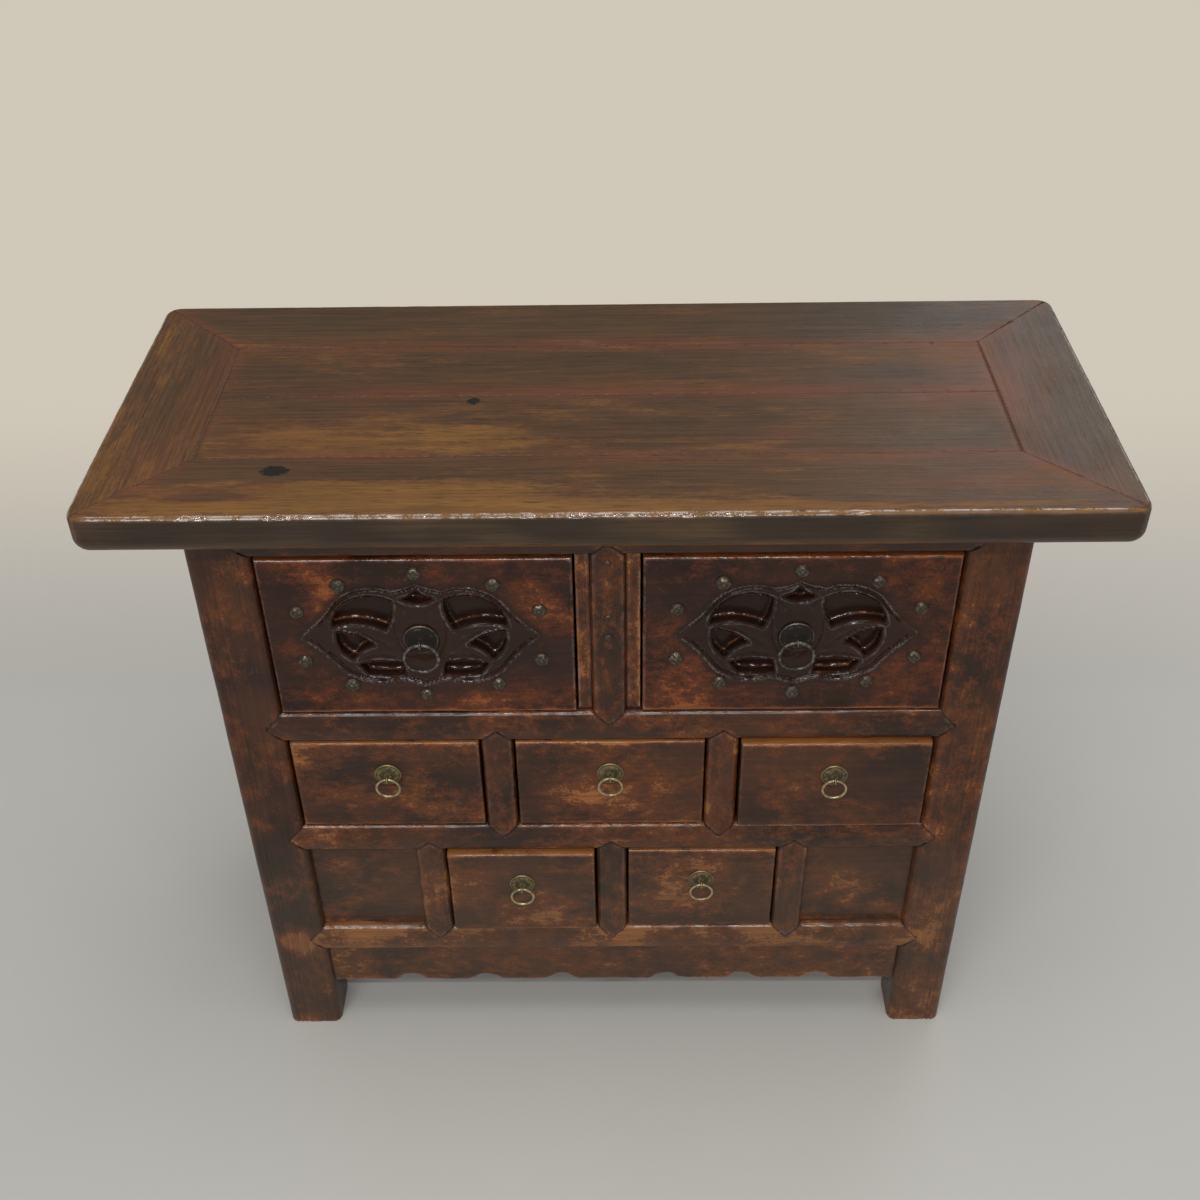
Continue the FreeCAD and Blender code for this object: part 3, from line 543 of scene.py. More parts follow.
def along_grain(sheet: Sheet, place: bpy.types.NodeSocket, grain: Grain) -> bpy.types.NodeSocket:
    """Turn places so that the grain runs along X, and give each piece wood of its own.

    Args:
        sheet: The material's tree.
        place: Places on the piece.
        grain: Which way the grain runs.

    Returns:
        The places in the wood.
    """
    turned = sheet.add("ShaderNodeMapping", {"Vector": place, "Rotation": Euler(grain.value)}).outputs[0]
    return sheet.vector("ADD", turned, sheet.vector("SCALE", PIECE_STEP, sheet.mark("piece")))


@dataclass(frozen=True)
class Finish:
    """How one kind of surface looks."""

    name: str

    def material(self) -> bpy.types.Material:
        """The finish's material, built on first use."""
        return bpy.data.materials.get(self.name) or self.build()

    def build(self) -> bpy.types.Material:
        """Build the material."""
        raise NotImplementedError


@dataclass(frozen=True)
class LacqueredElm(Finish):
    """Old lacquer on elm, rubbed thin to its red ground and in places through to the wood."""

    grain: Grain
    # dark colour for hollows, joints and knots, also used as painted shade on the top's outer sides and in
    # the carved windows
    dirt_and_shade: Colour = (0.014, 0.009, 0.007)
    lacquer: Colour = (0.028, 0.013, 0.008)
    shade: Colour = (0.072, 0.027, 0.012)
    ground: Colour = (0.180, 0.050, 0.013)
    wood: Colour = (0.36, 0.145, 0.042)
    seam: Colour = (0.17, 0.05, 0.022)
    dust: Colour = (0.10, 0.075, 0.05)
    dusty: float = 0.26
    ring: float = 0.009
    figure: float = 0.18
    bands: float = 0.10
    pores: float = 0.55
    stretch: Place = (0.7, 1.0, 1.0)
    blur: float = 0.0
    gloss: float = 0.30
    specular: float = 0.12
    coat: float = 0.12
    glint: float = 0.8
    bump: float = 0.0012
    knots: tuple[tuple[float, float, float, float], ...] = ()

    STREAK_IN_GROUND: ClassVar[float] = 0.5
    BAND_IN_WOOD: ClassVar[float] = 0.25
    STREAK_IN_WOOD: ClassVar[float] = 0.4
    STAIN: ClassVar[float] = 0.25
    HOLLOW_DARK: ClassVar[float] = 0.85
    KNOT_DEPTH: ClassVar[float] = 0.02
    DUST_TOP: ClassVar[float] = 0.40
    DUST_FULL: ClassVar[float] = 0.24
    FIGURE_LEVEL: ClassVar[float] = 1.04
    STREAK_FIGURE: ClassVar[float] = 1.1
    PORE_FIGURE: ClassVar[float] = -0.5
    BAND_MEAN: ClassVar[float] = 0.4
    STREAK_MEAN: ClassVar[float] = 0.55
    RED_STREAK: ClassVar[float] = 0.6
    RED_PLAIN: ClassVar[float] = 0.4
    ARRIS: ClassVar[Span] = (0.08, 0.5)
    GLINTS: ClassVar[Span] = (0.42, 0.56)
    COAT_ROUGHNESS: ClassVar[float] = 0.09
    COAT_IOR: ClassVar[float] = 2.0
    ROUGHNESS: ClassVar[Amounts] = {"Thin": 0.05, "Bare": 0.14, "Dent": 0.16, "Stain": 0.05}
    ROUGHNESS_MEAN: ClassVar[float] = 0.09
    HEIGHT: ClassVar[Amounts] = {"Streak": 0.1, "Pores": -0.2, "Dent": 1.0, "Scratch": -0.15, "Bare": -0.12}
    BUMP_STRENGTH: ClassVar[float] = 0.7

    def build(self) -> bpy.types.Material:
        """Build the material from grain, wear and age.

        Returns:
            The material.
        """
        material, sheet = new_finish(self.name)
        whole = sheet.add("ShaderNodeTexCoord").outputs["Object"]
        place = along_grain(sheet, whole, self.grain)
        grain = ElmGrain.place(sheet, {"Vector": place, "Ring": self.ring})
        marks = {"Worn": sheet.mark("worn"), "Edge": sheet.mark("edge"), "Hollow": sheet.mark("hollow")}
        wear = LacquerWear.place(
            sheet, {"Vector": place, "Stretch": self.stretch, "Blur": self.blur, **marks})
        age = OldAge.place(sheet, {"Vector": place})
        parts = by_name(grain, wear, age)
        colour = self.old_colour(sheet, parts)
        colour = self.marked_colour(sheet, colour, whole, marks["Hollow"])
        arris = sheet.smooth(marks["Edge"], *self.ARRIS)
        glint = sheet.math("MULTIPLY", arris, sheet.smooth(age["Dent"], *self.GLINTS))
        rough = sheet.total(*weighed(parts, self.ROUGHNESS), (1.0, self.gloss - self.ROUGHNESS_MEAN))
        height = sheet.total(*weighed(parts, self.HEIGHT))
        bump = sheet.add(
            "ShaderNodeBump", {"Strength": self.BUMP_STRENGTH, "Distance": self.bump, "Height": height})
        close_finish(sheet, {
            "Base Color": colour, "Roughness": rough, "Normal": bump.outputs["Normal"],
            "Coat Weight": sheet.total((glint, self.glint), (1.0, self.coat)),
            "Coat Roughness": self.COAT_ROUGHNESS, "Coat IOR": self.COAT_IOR,
            "Specular IOR Level": self.specular})
        return material

    def old_colour(self, sheet: Sheet, parts: dict[str, bpy.types.NodeSocket]) -> bpy.types.NodeSocket:
        """Colour of lacquer, ground and wood, each where it shows.

        Args:
            sheet: The material's tree.
            parts: What grain, wear and age give, by name.

        Returns:
            The colour's socket.
        """
        coat = sheet.mix(parts["Cloud"], self.lacquer, self.shade)
        streaky = sheet.math("MULTIPLY", parts["Streak"], self.STREAK_IN_GROUND)
        ground = sheet.mix(streaky, self.ground, self.shade)
        wood = sheet.mix(sheet.math("MULTIPLY", parts["Band"], self.BAND_IN_WOOD), self.wood, self.ground)
        wood = sheet.mix(sheet.math("MULTIPLY", parts["Streak"], self.STREAK_IN_WOOD), wood, self.ground)
        wood = sheet.mix(sheet.math("MULTIPLY", parts["Pores"], self.pores), wood, self.shade)
        colour = sheet.mix(parts["Thin"], coat, ground)
        colour = sheet.mix(parts["Bare"], colour, wood)
        colour = sheet.mix(sheet.math("MULTIPLY", parts["Stain"], self.STAIN), colour, self.lacquer)
        middle = self.FIGURE_LEVEL + self.BAND_MEAN * self.bands - self.STREAK_MEAN * self.figure
        figure = sheet.total(
            (parts["Streak"], self.STREAK_FIGURE * self.figure), (parts["Band"], -self.bands),
            (parts["Pores"], self.PORE_FIGURE * self.pores), (1.0, middle))
        colour = sheet.mix(1.0, colour, figure, "MULTIPLY")
        streaky = sheet.total((parts["Streak"], self.RED_STREAK), (1.0, self.RED_PLAIN))
        red = sheet.math("MULTIPLY", sheet.mark("seam"), streaky)
        return sheet.mix(red, colour, self.seam)

    def marked_colour(
        self, sheet: Sheet, colour: bpy.types.NodeSocket, whole: bpy.types.NodeSocket,
        hollow: bpy.types.NodeSocket,
    ) -> bpy.types.NodeSocket:
        """Darken hollows, joints and knots, paint shade where the hollow mark carries it, and lay dust low
        down.

        Args:
            sheet: The material's tree.
            colour: The colour so far.
            whole: Places in the part's frame.
            hollow: How hollow each place is, with painted shade added on some faces.

        Returns:
            The colour's socket.
        """
        dark = sheet.math("MULTIPLY", hollow, self.HOLLOW_DARK, clamp=True)
        for x, y, reach_x, reach_y in self.knots:
            centre, reach = (x, y, CAD_BOX[1][2]), (reach_x, reach_y, self.KNOT_DEPTH)
            oval = {"Vector": whole, "Centre": centre, "Reach": reach}
            dark = sheet.math("MAXIMUM", dark, Knot.place(sheet, oval)["Knot"])
        colour = sheet.mix(dark, colour, self.dirt_and_shade)
        level = sheet.add("ShaderNodeSeparateXYZ", {0: whole}).outputs["Z"]
        dust = sheet.math("MULTIPLY", sheet.smooth(level, self.DUST_TOP, self.DUST_FULL), self.dusty)
        return sheet.mix(dust, colour, self.dust)


@dataclass(frozen=True)
class BareElm(Finish):
    """Unfinished elm inside the chest, brown with age and dust."""

    grain: Grain
    wood: Colour = (0.25, 0.150, 0.075)
    dark: Colour = (0.11, 0.062, 0.032)
    ring: float = 0.012
    roughness: float = 0.68
    bump: float = 0.001

    DARKENING: ClassVar[Amounts] = {"Band": 0.6, "Streak": 0.35, "Pores": 0.6}
    DIRT: ClassVar[Amounts] = {"Stain": 0.5, "Hollow": 0.6, "Edge": -0.3}
    ROUGHNESS: ClassVar[Amounts] = {"Dent": 0.2}
    ROUGHNESS_MEAN: ClassVar[float] = 0.1
    HEIGHT: ClassVar[Amounts] = {"Streak": 0.3, "Pores": -0.5, "Dent": 0.5}
    BUMP_STRENGTH: ClassVar[float] = 0.5

    def build(self) -> bpy.types.Material:
        """Build the material from grain and age.

        Returns:
            The material.
        """
        material, sheet = new_finish(self.name)
        place = along_grain(sheet, sheet.add("ShaderNodeTexCoord").outputs["Object"], self.grain)
        grain = ElmGrain.place(sheet, {"Vector": place, "Ring": self.ring})
        age = OldAge.place(sheet, {"Vector": place})
        marks = {"Hollow": sheet.mark("hollow"), "Edge": sheet.mark("edge")}
        parts = by_name(grain, age) | marks
        colour: Any = self.wood
        for name, share in self.DARKENING.items():
            colour = sheet.mix(sheet.math("MULTIPLY", parts[name], share), colour, self.dark)
        dirt_and_shade = sheet.total(*weighed(parts, self.DIRT))
        colour = sheet.mix(sheet.math("MAXIMUM", dirt_and_shade, 0.0, clamp=True), colour, self.dark)
        rough = sheet.total(*weighed(parts, self.ROUGHNESS), (1.0, self.roughness - self.ROUGHNESS_MEAN))
        height = sheet.total(*weighed(parts, self.HEIGHT))
        bump = sheet.add(
            "ShaderNodeBump", {"Strength": self.BUMP_STRENGTH, "Distance": self.bump, "Height": height})
        close_finish(sheet, {"Base Color": colour, "Roughness": rough, "Normal": bump.outputs["Normal"]})
        return material


@dataclass(frozen=True)
class AgedMetal(Finish):
    """Cast and hammered metal, dark where it is never touched."""

    bright: Colour
    tarnish: Colour
    polish: float
    roughness: float
    bump: float = 0.0008

    AGE_SCALE: ClassVar[float] = 3.0
    CLOUD_SCALE: ClassVar[float] = 210.0
    LEVEL: ClassVar[Amounts] = {"Cloud": 1.0, "Edge": 0.35, "Hollow": -0.5}
    MEDIUM_POLISH: ClassVar[float] = 0.5
    RUBBED: ClassVar[Span] = (0.35, 0.7)
    ROUGHNESS: ClassVar[Amounts] = {"Rubbed": -0.22, "Dent": 0.2}
    METALLIC: ClassVar[Amounts] = {"Rubbed": 0.35}
    METALLIC_LEAST: ClassVar[float] = 0.6
    HEIGHT: ClassVar[Amounts] = {"Dent": 0.8, "Cloud": 0.4}
    BUMP_STRENGTH: ClassVar[float] = 0.4

    def build(self) -> bpy.types.Material:
        """Build the material from noise and the mesh's edges and hollows.

        Returns:
            The material.
        """
        material, sheet = new_finish(self.name)
        place = sheet.add("ShaderNodeTexCoord").outputs["Object"]
        age = OldAge.place(sheet, {"Vector": sheet.vector("SCALE", place, self.AGE_SCALE)})
        parts = by_name(age) | {"Edge": sheet.mark("edge"), "Hollow": sheet.mark("hollow")}
        parts["Cloud"] = sheet.noise(place, self.CLOUD_SCALE, 4.0, 0.65)
        level = sheet.total(*weighed(parts, self.LEVEL), (1.0, self.polish - self.MEDIUM_POLISH))
        parts["Rubbed"] = sheet.smooth(level, *self.RUBBED)
        colour = sheet.mix(parts["Rubbed"], self.tarnish, self.bright)
        rough = sheet.total(*weighed(parts, self.ROUGHNESS), (1.0, self.roughness))
        metallic = sheet.total(*weighed(parts, self.METALLIC), (1.0, self.METALLIC_LEAST))
        height = sheet.total(*weighed(parts, self.HEIGHT))
        bump = sheet.add(
            "ShaderNodeBump", {"Strength": self.BUMP_STRENGTH, "Distance": self.bump, "Height": height})
        close_finish(sheet, {
            "Base Color": colour, "Metallic": metallic, "Roughness": rough, "Normal": bump.outputs["Normal"]})
        return material


TOP_LOOK: dict[str, Any] = {
    "lacquer": (0.058, 0.034, 0.017), "shade": (0.082, 0.045, 0.019), "ground": (0.118, 0.046, 0.017),
    "wood": (0.225, 0.105, 0.022), "gloss": 0.38, "figure": 0.50, "bands": 0.06, "pores": 0.8, "bump": 0.0005,
    "specular": 0.34, "coat": 0.0, "glint": 1.0, "stretch": (0.24, 1.0, 1.0), "blur": 0.06,
    "knots": ((-0.335, -0.1405, 0.015, 0.010), (-0.144, -0.006, 0.008, 0.0075))}
TOP_ALONG = LacqueredElm("top_lacquer_along", Grain.ALONG_X, **TOP_LOOK)
TOP_ACROSS = LacqueredElm("top_lacquer_across", Grain.ALONG_Y, **TOP_LOOK)
FRONT_ALONG = LacqueredElm("front_lacquer_along", Grain.ALONG_X)
FRONT_UPRIGHT = LacqueredElm("front_lacquer_upright", Grain.ALONG_Z)
SIDE_ALONG = LacqueredElm("side_lacquer_along", Grain.ALONG_Y)
CARVED = LacqueredElm(
    "carved_lacquer", Grain.ALONG_X, dirt_and_shade=(0.019, 0.009, 0.006), lacquer=(0.022, 0.010, 0.007),
    shade=(0.048, 0.018, 0.010), ground=(0.155, 0.039, 0.012), wood=(0.29, 0.088, 0.024),
    gloss=0.26, coat=0.07, glint=1.0, bump=0.0008)
BARE_ALONG = BareElm("bare_elm_along", Grain.ALONG_X)
BARE_ACROSS = BareElm("bare_elm_across", Grain.ALONG_Y)
BRASS = AgedMetal("old_brass", (0.58, 0.47, 0.27), (0.15, 0.115, 0.055), polish=0.55, roughness=0.48)
PLATE_BRASS = AgedMetal("dull_brass", (0.30, 0.235, 0.12), (0.075, 0.056, 0.028), polish=0.48, roughness=0.55)
IRON = AgedMetal("old_iron", (0.17, 0.145, 0.125), (0.020, 0.016, 0.013), polish=0.27, roughness=0.52)
RING_IRON = AgedMetal("ring_iron", (0.30, 0.265, 0.225), (0.04, 0.034, 0.028), polish=0.43, roughness=0.42)
STUD_IRON = AgedMetal("stud_iron", (0.18, 0.143, 0.098), (0.05, 0.038, 0.027), polish=0.40, roughness=0.40)
NAIL_IRON = AgedMetal("nail_iron", (0.15, 0.105, 0.075), (0.045, 0.03, 0.02), polish=0.45, roughness=0.50)


# Meshes


def points_of(mesh: bpy.types.Mesh) -> np.ndarray:
    """The mesh's points as rows of x, y and z.

    Args:
        mesh: The mesh.

    Returns:
        Rows of coordinates.
    """
    values = np.empty(len(mesh.vertices) * 3, np.float32)
    mesh.vertices.foreach_get("co", values)
    return values.reshape(-1, 3).astype(float)


def normals_of(mesh: bpy.types.Mesh) -> np.ndarray:
    """The directions in which the mesh's points face.

    Args:
        mesh: The mesh.

    Returns:
        Rows of unit vectors.
    """
    values = np.empty(len(mesh.vertices) * 3, np.float32)
    mesh.vertex_normals.foreach_get("vector", values)
    return values.reshape(-1, 3).astype(float)


def edges_of(mesh: bpy.types.Mesh) -> np.ndarray:
    """Pairs of points that the mesh's edges join.

    Args:
        mesh: The mesh.

    Returns:
        Rows of two point numbers.
    """
    values = np.empty(len(mesh.edges) * 2, np.int32)
    mesh.edges.foreach_get("vertices", values)
    return values.reshape(-1, 2)


def set_points(mesh: bpy.types.Mesh, points: np.ndarray) -> None:
    """Move the mesh's points.

    Args:
        mesh: The mesh.
        points: New places, in the mesh's order.
    """
    mesh.vertices.foreach_set("co", points.astype(np.float32).ravel())
    mesh.update()


def set_mark(mesh: bpy.types.Mesh, name: str, values: np.ndarray) -> None:
    """Write a value on each point.

    Args:
        mesh: The mesh.
        name: The attribute's name.
        values: One number for each point.
    """
    attribute = mesh.attributes.get(name) or mesh.attributes.new(name, "FLOAT", "POINT")
    attribute.data.foreach_set("value", values.astype(np.float32))


def eased(values: np.ndarray, edges: np.ndarray, steps: int) -> np.ndarray:
    """Average each point's values with its neighbours', several times over.

    Args:
        values: Rows of values, one for each point.
        edges: Pairs of neighbours.
        steps: How many times.

    Returns:
        The averaged values.
    """
    count = len(values)
    left, right = edges[:, 0], edges[:, 1]
    share = np.bincount(left, minlength=count) + np.bincount(right, minlength=count)
    share = np.maximum(share, 1)[:, None]
    for _ in range(steps):
        around = np.empty_like(values)
        for column in range(values.shape[1]):
            around[:, column] = np.bincount(left, values[right, column], count)
            around[:, column] += np.bincount(right, values[left, column], count)
        values = 0.5 * values + 0.5 * around / share
    return values


def lumps(places: np.ndarray, size: float, seed: int) -> np.ndarray:
    """Smooth uneven values, mostly between -1 and 1.

    Args:
        places: Rows of coordinates.
        size: About how far apart two lumps are.
        seed: Seed of the lumps' places.

    Returns:
        One value for each row.
    """
    random = np.random.default_rng(seed)
    total = np.zeros(len(places))
    for _ in range(8):
        way = random.normal(size=places.shape[1])
        way *= random.uniform(0.6, 1.5) * 2 * math.pi / size / np.linalg.norm(way)
        total += np.sin(places @ way + random.uniform(0, 2 * math.pi))
    return total / 4


def relief(mesh: bpy.types.Mesh, steps: int) -> np.ndarray:
    """How far each point stands out of its surroundings, or, below 0, lies in them.

    Args:
        mesh: The mesh.
        steps: How far the surroundings reach, in points.

    Returns:
        Heights in metres.
    """
    points = points_of(mesh)
    return ((points - eased(points, edges_of(mesh), steps)) * normals_of(mesh)).sum(1)


def mark_relief(mesh: bpy.types.Mesh, steps: int, height: float) -> None:
    """Write how far each point stands out of its surroundings, as edge, or lies in them, as hollow.

    Args:
        mesh: The mesh.
        steps: How far the surroundings reach, in points.
        height: The height that counts as a full edge or hollow.
    """
    stand = relief(mesh, steps) / height
    set_mark(mesh, "edge", np.clip(stand, 0.0, 1.0))
    set_mark(mesh, "hollow", np.clip(-stand, 0.0, 1.0))


def reach_to_neighbours(node: str, points: np.ndarray, limit: float) -> np.ndarray:
    """Distance from points to the other nodes that ride on a node's body.

    Args:
        node: The node.
        points: Rows of x, y and z.
        limit: The longest distance that counts.

    Returns:
        Distances in metres, up to the limit.
    """
    own = frame["nodes"][node]
    low, high = NODE_BOXES[node][0] - limit, NODE_BOXES[node][1] + limit
    found = []
    for name, other in frame["nodes"].items():
        lowest, highest = NODE_BOXES[name]
        if other is own or other.parent is not own.parent or (lowest > high).any() or (highest < low).any():
            continue
        corners = np.empty(len(other.data.loops), np.int32)
        other.data.loops.foreach_get("vertex_index", corners)
        triangles = points_of(other.data)[corners].reshape(-1, 3, 3)
        found.append(triangles[(triangles.min(1) < high).all(1) & (triangles.max(1) > low).all(1)])
    reach = np.full(len(points), limit)
    if not found:
        return reach
    corners = np.concatenate(found).reshape(-1, 3)
    tree = BVHTree.FromPolygons(
        corners.tolist(), np.arange(len(corners)).reshape(-1, 3).tolist(), all_triangles=True)
    for index, point in enumerate(points.tolist()):
        distance = tree.find_nearest(point, limit)[3]
        if distance is not None:
            reach[index] = distance
    return reach


def refine(mesh: bpy.types.Mesh, longest: float) -> None:
    """Halve a mesh's edges until they are short, without changing its shape.

    Args:
        mesh: The mesh.
        longest: The longest edge that may stay.
    """
    shell = bmesh.new()
    shell.from_mesh(mesh)
    for _ in range(12):
        edges = [edge for edge in shell.edges if edge.calc_length() > longest]
        if not edges:
            break
        bmesh.ops.subdivide_edges(shell, edges=edges, cuts=1)
        bmesh.ops.triangulate(shell, faces=[face for face in shell.faces if len(face.verts) > 3])
    shell.to_mesh(mesh)
    shell.free()


def snap_to_edges(mesh: bpy.types.Mesh, exact: bpy.types.Mesh, spacing: float) -> None:
    """Move the points of an even mesh that lie next to an exact mesh's sharp edges onto those edges.

    Args:
        mesh: The even mesh.
        exact: The exact mesh.
        spacing: Distance between the even mesh's points.
    """
    shell = bmesh.new()
    shell.from_mesh(exact)
    places = []
    for edge in shell.edges:
        if edge.calc_face_angle(0.0) < SHARP:
            continue
        start, end = edge.verts[0].co, edge.verts[1].co
        steps = max(1, math.ceil(edge.calc_length() / spacing * 1.5))
        places += [start.lerp(end, step / steps) for step in range(steps + 1)]
    shell.free()
    points = points_of(mesh)
    tree = KDTree(len(points))
    for index, point in enumerate(points):
        tree.insert(point, index)
    tree.balance()
    nearest_yet = np.full(len(points), spacing * 0.8)
    snapped = points.copy()
    for place in places:
        _, index, distance = tree.find(place)
        if distance < nearest_yet[index]:
            nearest_yet[index] = distance
            snapped[index] = place
    set_points(mesh, snapped)


def mark_of(mesh: bpy.types.Mesh, name: str) -> np.ndarray:
    """The values of a mark on the mesh's points.

    Args:
        mesh: The mesh.
        name: The attribute's name.

    Returns:
        One number for each point.
    """
    values = np.empty(len(mesh.vertices), np.float32)
    mesh.attributes[name].data.foreach_get("value", values)
    return values


def new_piece(name: str, mesh: bpy.types.Mesh) -> bpy.types.Object:
    """Put a mesh in the scene.

    Args:
        name: The piece's name.
        mesh: Its mesh.

    Returns:
        The piece, at the origin.
    """
    piece = bpy.data.objects.new(name, mesh)
    bpy.context.scene.collection.objects.link(piece)
    return piece


def merged_copy(node: str) -> bpy.types.Mesh:
    """A copy of a node's mesh with its loose triangles joined.

    Args:
        node: The node's name.

    Returns:
        The new mesh.
    """
    shell = bmesh.new()
    shell.from_mesh(frame["nodes"][node].data)
    bmesh.ops.remove_doubles(shell, verts=shell.verts, dist=MERGE)
    mesh = bpy.data.meshes.new(node)
    shell.to_mesh(mesh)
    shell.free()
    return mesh


def solid_boxes(mesh: bpy.types.Mesh) -> list[tuple[np.ndarray, np.ndarray]]:
    """The lowest and highest corners of each separate solid of a merged mesh, from left to right.

    Args:
        mesh: The merged mesh.

    Returns:
        Pairs of corners.
    """
    points = points_of(mesh)
    owner = np.arange(len(points))
    edges = edges_of(mesh)
    while True:
        lowest = owner.copy()
        np.minimum.at(lowest, edges[:, 0], owner[edges[:, 1]])
        np.minimum.at(lowest, edges[:, 1], owner[edges[:, 0]])
        lowest = lowest[lowest]
        if (lowest == owner).all():
            break
        owner = lowest
    boxes = [(points[owner == label].min(0), points[owner == label].max(0)) for label in np.unique(owner)]
    return sorted(boxes, key=lambda corners: tuple(np.round(corners[0], 5)))


def settle(piece: bpy.types.Object) -> None:
    """Turn a piece's modifiers into its plain mesh.

    Args:
        piece: The piece.
    """
    graph = bpy.context.evaluated_depsgraph_get()
    mesh = bpy.data.meshes.new_from_object(
        piece.evaluated_get(graph), preserve_all_data_layers=True, depsgraph=graph)
    piece.modifiers.clear()
    rough = piece.data
    piece.data = mesh
    bpy.data.meshes.remove(rough)


def hand_over(piece: bpy.types.Object, node: str, body: str) -> None:
    """Let a finished piece stand for its node.

    Args:
        piece: The piece.
        node: The node that it replaces.
        body: The body that it rides on.
    """
    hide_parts(node)
    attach(piece, body)
    log.info("%s: %d faces on %s", piece.name, len(piece.data.polygons), body)


# Geometry Nodes


class NodeTool:
    """A geometry tree with named inputs, run on a piece and turned into plain mesh."""

    name: ClassVar[str]
    inputs: ClassVar[dict[str, str]]

    @classmethod
    def draw(cls, sheet: Sheet, given: Any) -> bpy.types.NodeSocket:
        """Draw the tree between its inputs and the last Set Material.

        Args:
            sheet: The tree's sheet.
            given: The tree's inputs, by name.

        Returns:
            The geometry's socket.
        """
        raise NotImplementedError

    @classmethod
    def tree(cls) -> bpy.types.NodeTree:
        """The tool's tree, built on first use.

        Returns:
            The tree.
        """
        found = bpy.data.node_groups.get(cls.name)
        if found:
            return found
        tree = bpy.data.node_groups.new(cls.name, "GeometryNodeTree")
        tree.interface.new_socket("Geometry", in_out="INPUT", socket_type="NodeSocketGeometry")
        for name, kind in {**cls.inputs, "Finish": "NodeSocketMaterial"}.items():
            tree.interface.new_socket(name, in_out="INPUT", socket_type=kind)
        tree.interface.new_socket("Geometry", in_out="OUTPUT", socket_type="NodeSocketGeometry")
        sheet = Sheet(tree)
        given = sheet.add("NodeGroupInput").outputs
        whole = sheet.add("GeometryNodeRealizeInstances", {0: cls.draw(sheet, given)}).outputs[0]
        inputs = {"Geometry": whole, "Material": given["Finish"]}
        dressed = sheet.add("GeometryNodeSetMaterial", inputs).outputs[0]
        sheet.add("NodeGroupOutput", {0: dressed})
        return tree

    @classmethod
    def run(cls, piece: bpy.types.Object, values: dict[str, Any]) -> None:
        """Add the tool to a piece as a modifier.

        Args:
            piece: The piece.
            values: The tree's inputs, by name.
        """
        modifier = piece.modifiers.new(cls.name, "NODES")
        modifier.node_group = cls.tree()
        for item in modifier.node_group.interface.items_tree:
            if item.in_out == "INPUT" and item.name in values:
                modifier[item.identifier] = values[item.name]


class WornSurface(NodeTool):
    """Lets a surface swell and sink by hand-planed hollows and loses chips along its edges."""

    name = "Worn Surface"
    inputs = {
        "Swell": "NodeSocketFloat", "Swell Size": "NodeSocketFloat", "Chip": "NodeSocketFloat",
        "Chip Size": "NodeSocketFloat", "Seed": "NodeSocketFloat"}
    CLUSTER: ClassVar[float] = 6.0

    @classmethod
    def draw(cls, sheet: Sheet, given: Any) -> bpy.types.NodeSocket:
        """Draw two noises that push points inwards, the second one on edges only.

        Args:
            sheet: The tree's sheet.
            given: The tree's inputs, by name.

        Returns:
            The geometry's socket.
        """
        def uneven(size: Any, detail: float) -> bpy.types.NodeSocket:
            """Noise of a given size, moved on by the seed."""
            inputs = {"W": given["Seed"], "Scale": sheet.math("DIVIDE", 1.0, size), "Detail": detail}
            return sheet.add("ShaderNodeTexNoise", inputs, noise_dimensions="4D").outputs[0]

        edge = sheet.add("GeometryNodeInputNamedAttribute", {"Name": "edge"}, data_type="FLOAT").outputs[0]
        hollow = sheet.smooth(uneven(given["Swell Size"], 2.0), 0.25, 0.75)
        swell = sheet.math("MULTIPLY", hollow, given["Swell"])
        apart = sheet.math("MULTIPLY", given["Chip Size"], cls.CLUSTER)
        cluster = sheet.smooth(uneven(apart, 2.0), 0.42, 0.62)
        chip = sheet.math("MULTIPLY", sheet.smooth(uneven(given["Chip Size"], 3.0), 0.45, 0.7), given["Chip"])
        chip = sheet.math("MULTIPLY", chip, cluster)
        depth = sheet.math("ADD", swell, sheet.math("MULTIPLY", chip, edge))
        inward = sheet.math("MULTIPLY", depth, -1.0)
        normal = sheet.add("GeometryNodeInputNormal").outputs[0]
        offset = sheet.vector("SCALE", normal, inward)
        moved = {"Geometry": given["Geometry"], "Offset": offset}
        return sheet.add("GeometryNodeSetPosition", moved).outputs[0]


class Scatter(NodeTool):
    """Sets a copy of a small shape on every point, each with its own turn and size."""

    name = "Nail Heads"
    inputs = {"Head": "NodeSocketObject", "Variety": "NodeSocketFloat", "Seed": "NodeSocketInt"}

    @classmethod
    def draw(cls, sheet: Sheet, given: Any) -> bpy.types.NodeSocket:
        """Draw instances on points, turned about the way that they face.

        Args:
            sheet: The tree's sheet.
            given: The tree's inputs, by name.

        Returns:
            The geometry's socket.
        """
        head = sheet.add("GeometryNodeObjectInfo", {"Object": given["Head"], "As Instance": True})
        turn = sheet.add("FunctionNodeRandomValue", data_type="FLOAT")
        sheet.feed(turn.inputs[2], 0.0)
        sheet.feed(turn.inputs[3], 2 * math.pi)
        sheet.feed(turn.inputs["Seed"], given["Seed"])
        size = sheet.add("FunctionNodeRandomValue", data_type="FLOAT")
        sheet.feed(size.inputs[2], sheet.math("SUBTRACT", 1.0, given["Variety"]))
        sheet.feed(size.inputs[3], 1.0)
        sheet.feed(size.inputs["Seed"], sheet.math("ADD", given["Seed"], 1.0))
        rotation = sheet.add("ShaderNodeCombineXYZ", {"Y": turn.outputs[1]}).outputs[0]
        placed = sheet.add("GeometryNodeInstanceOnPoints", {
            "Points": given["Geometry"], "Instance": head.outputs["Geometry"], "Rotation": rotation,
            "Scale": size.outputs[1]})
        return placed.outputs[0]


# Worn boards


@dataclass(frozen=True)
class Rub:
    """A place where hands, cloths or knocks have worn a board more, or less, than the rest of it."""

    across: float
    up: float
    reach_across: float
    reach_up: float
    amount: float


Rubs = tuple[Rub, ...]


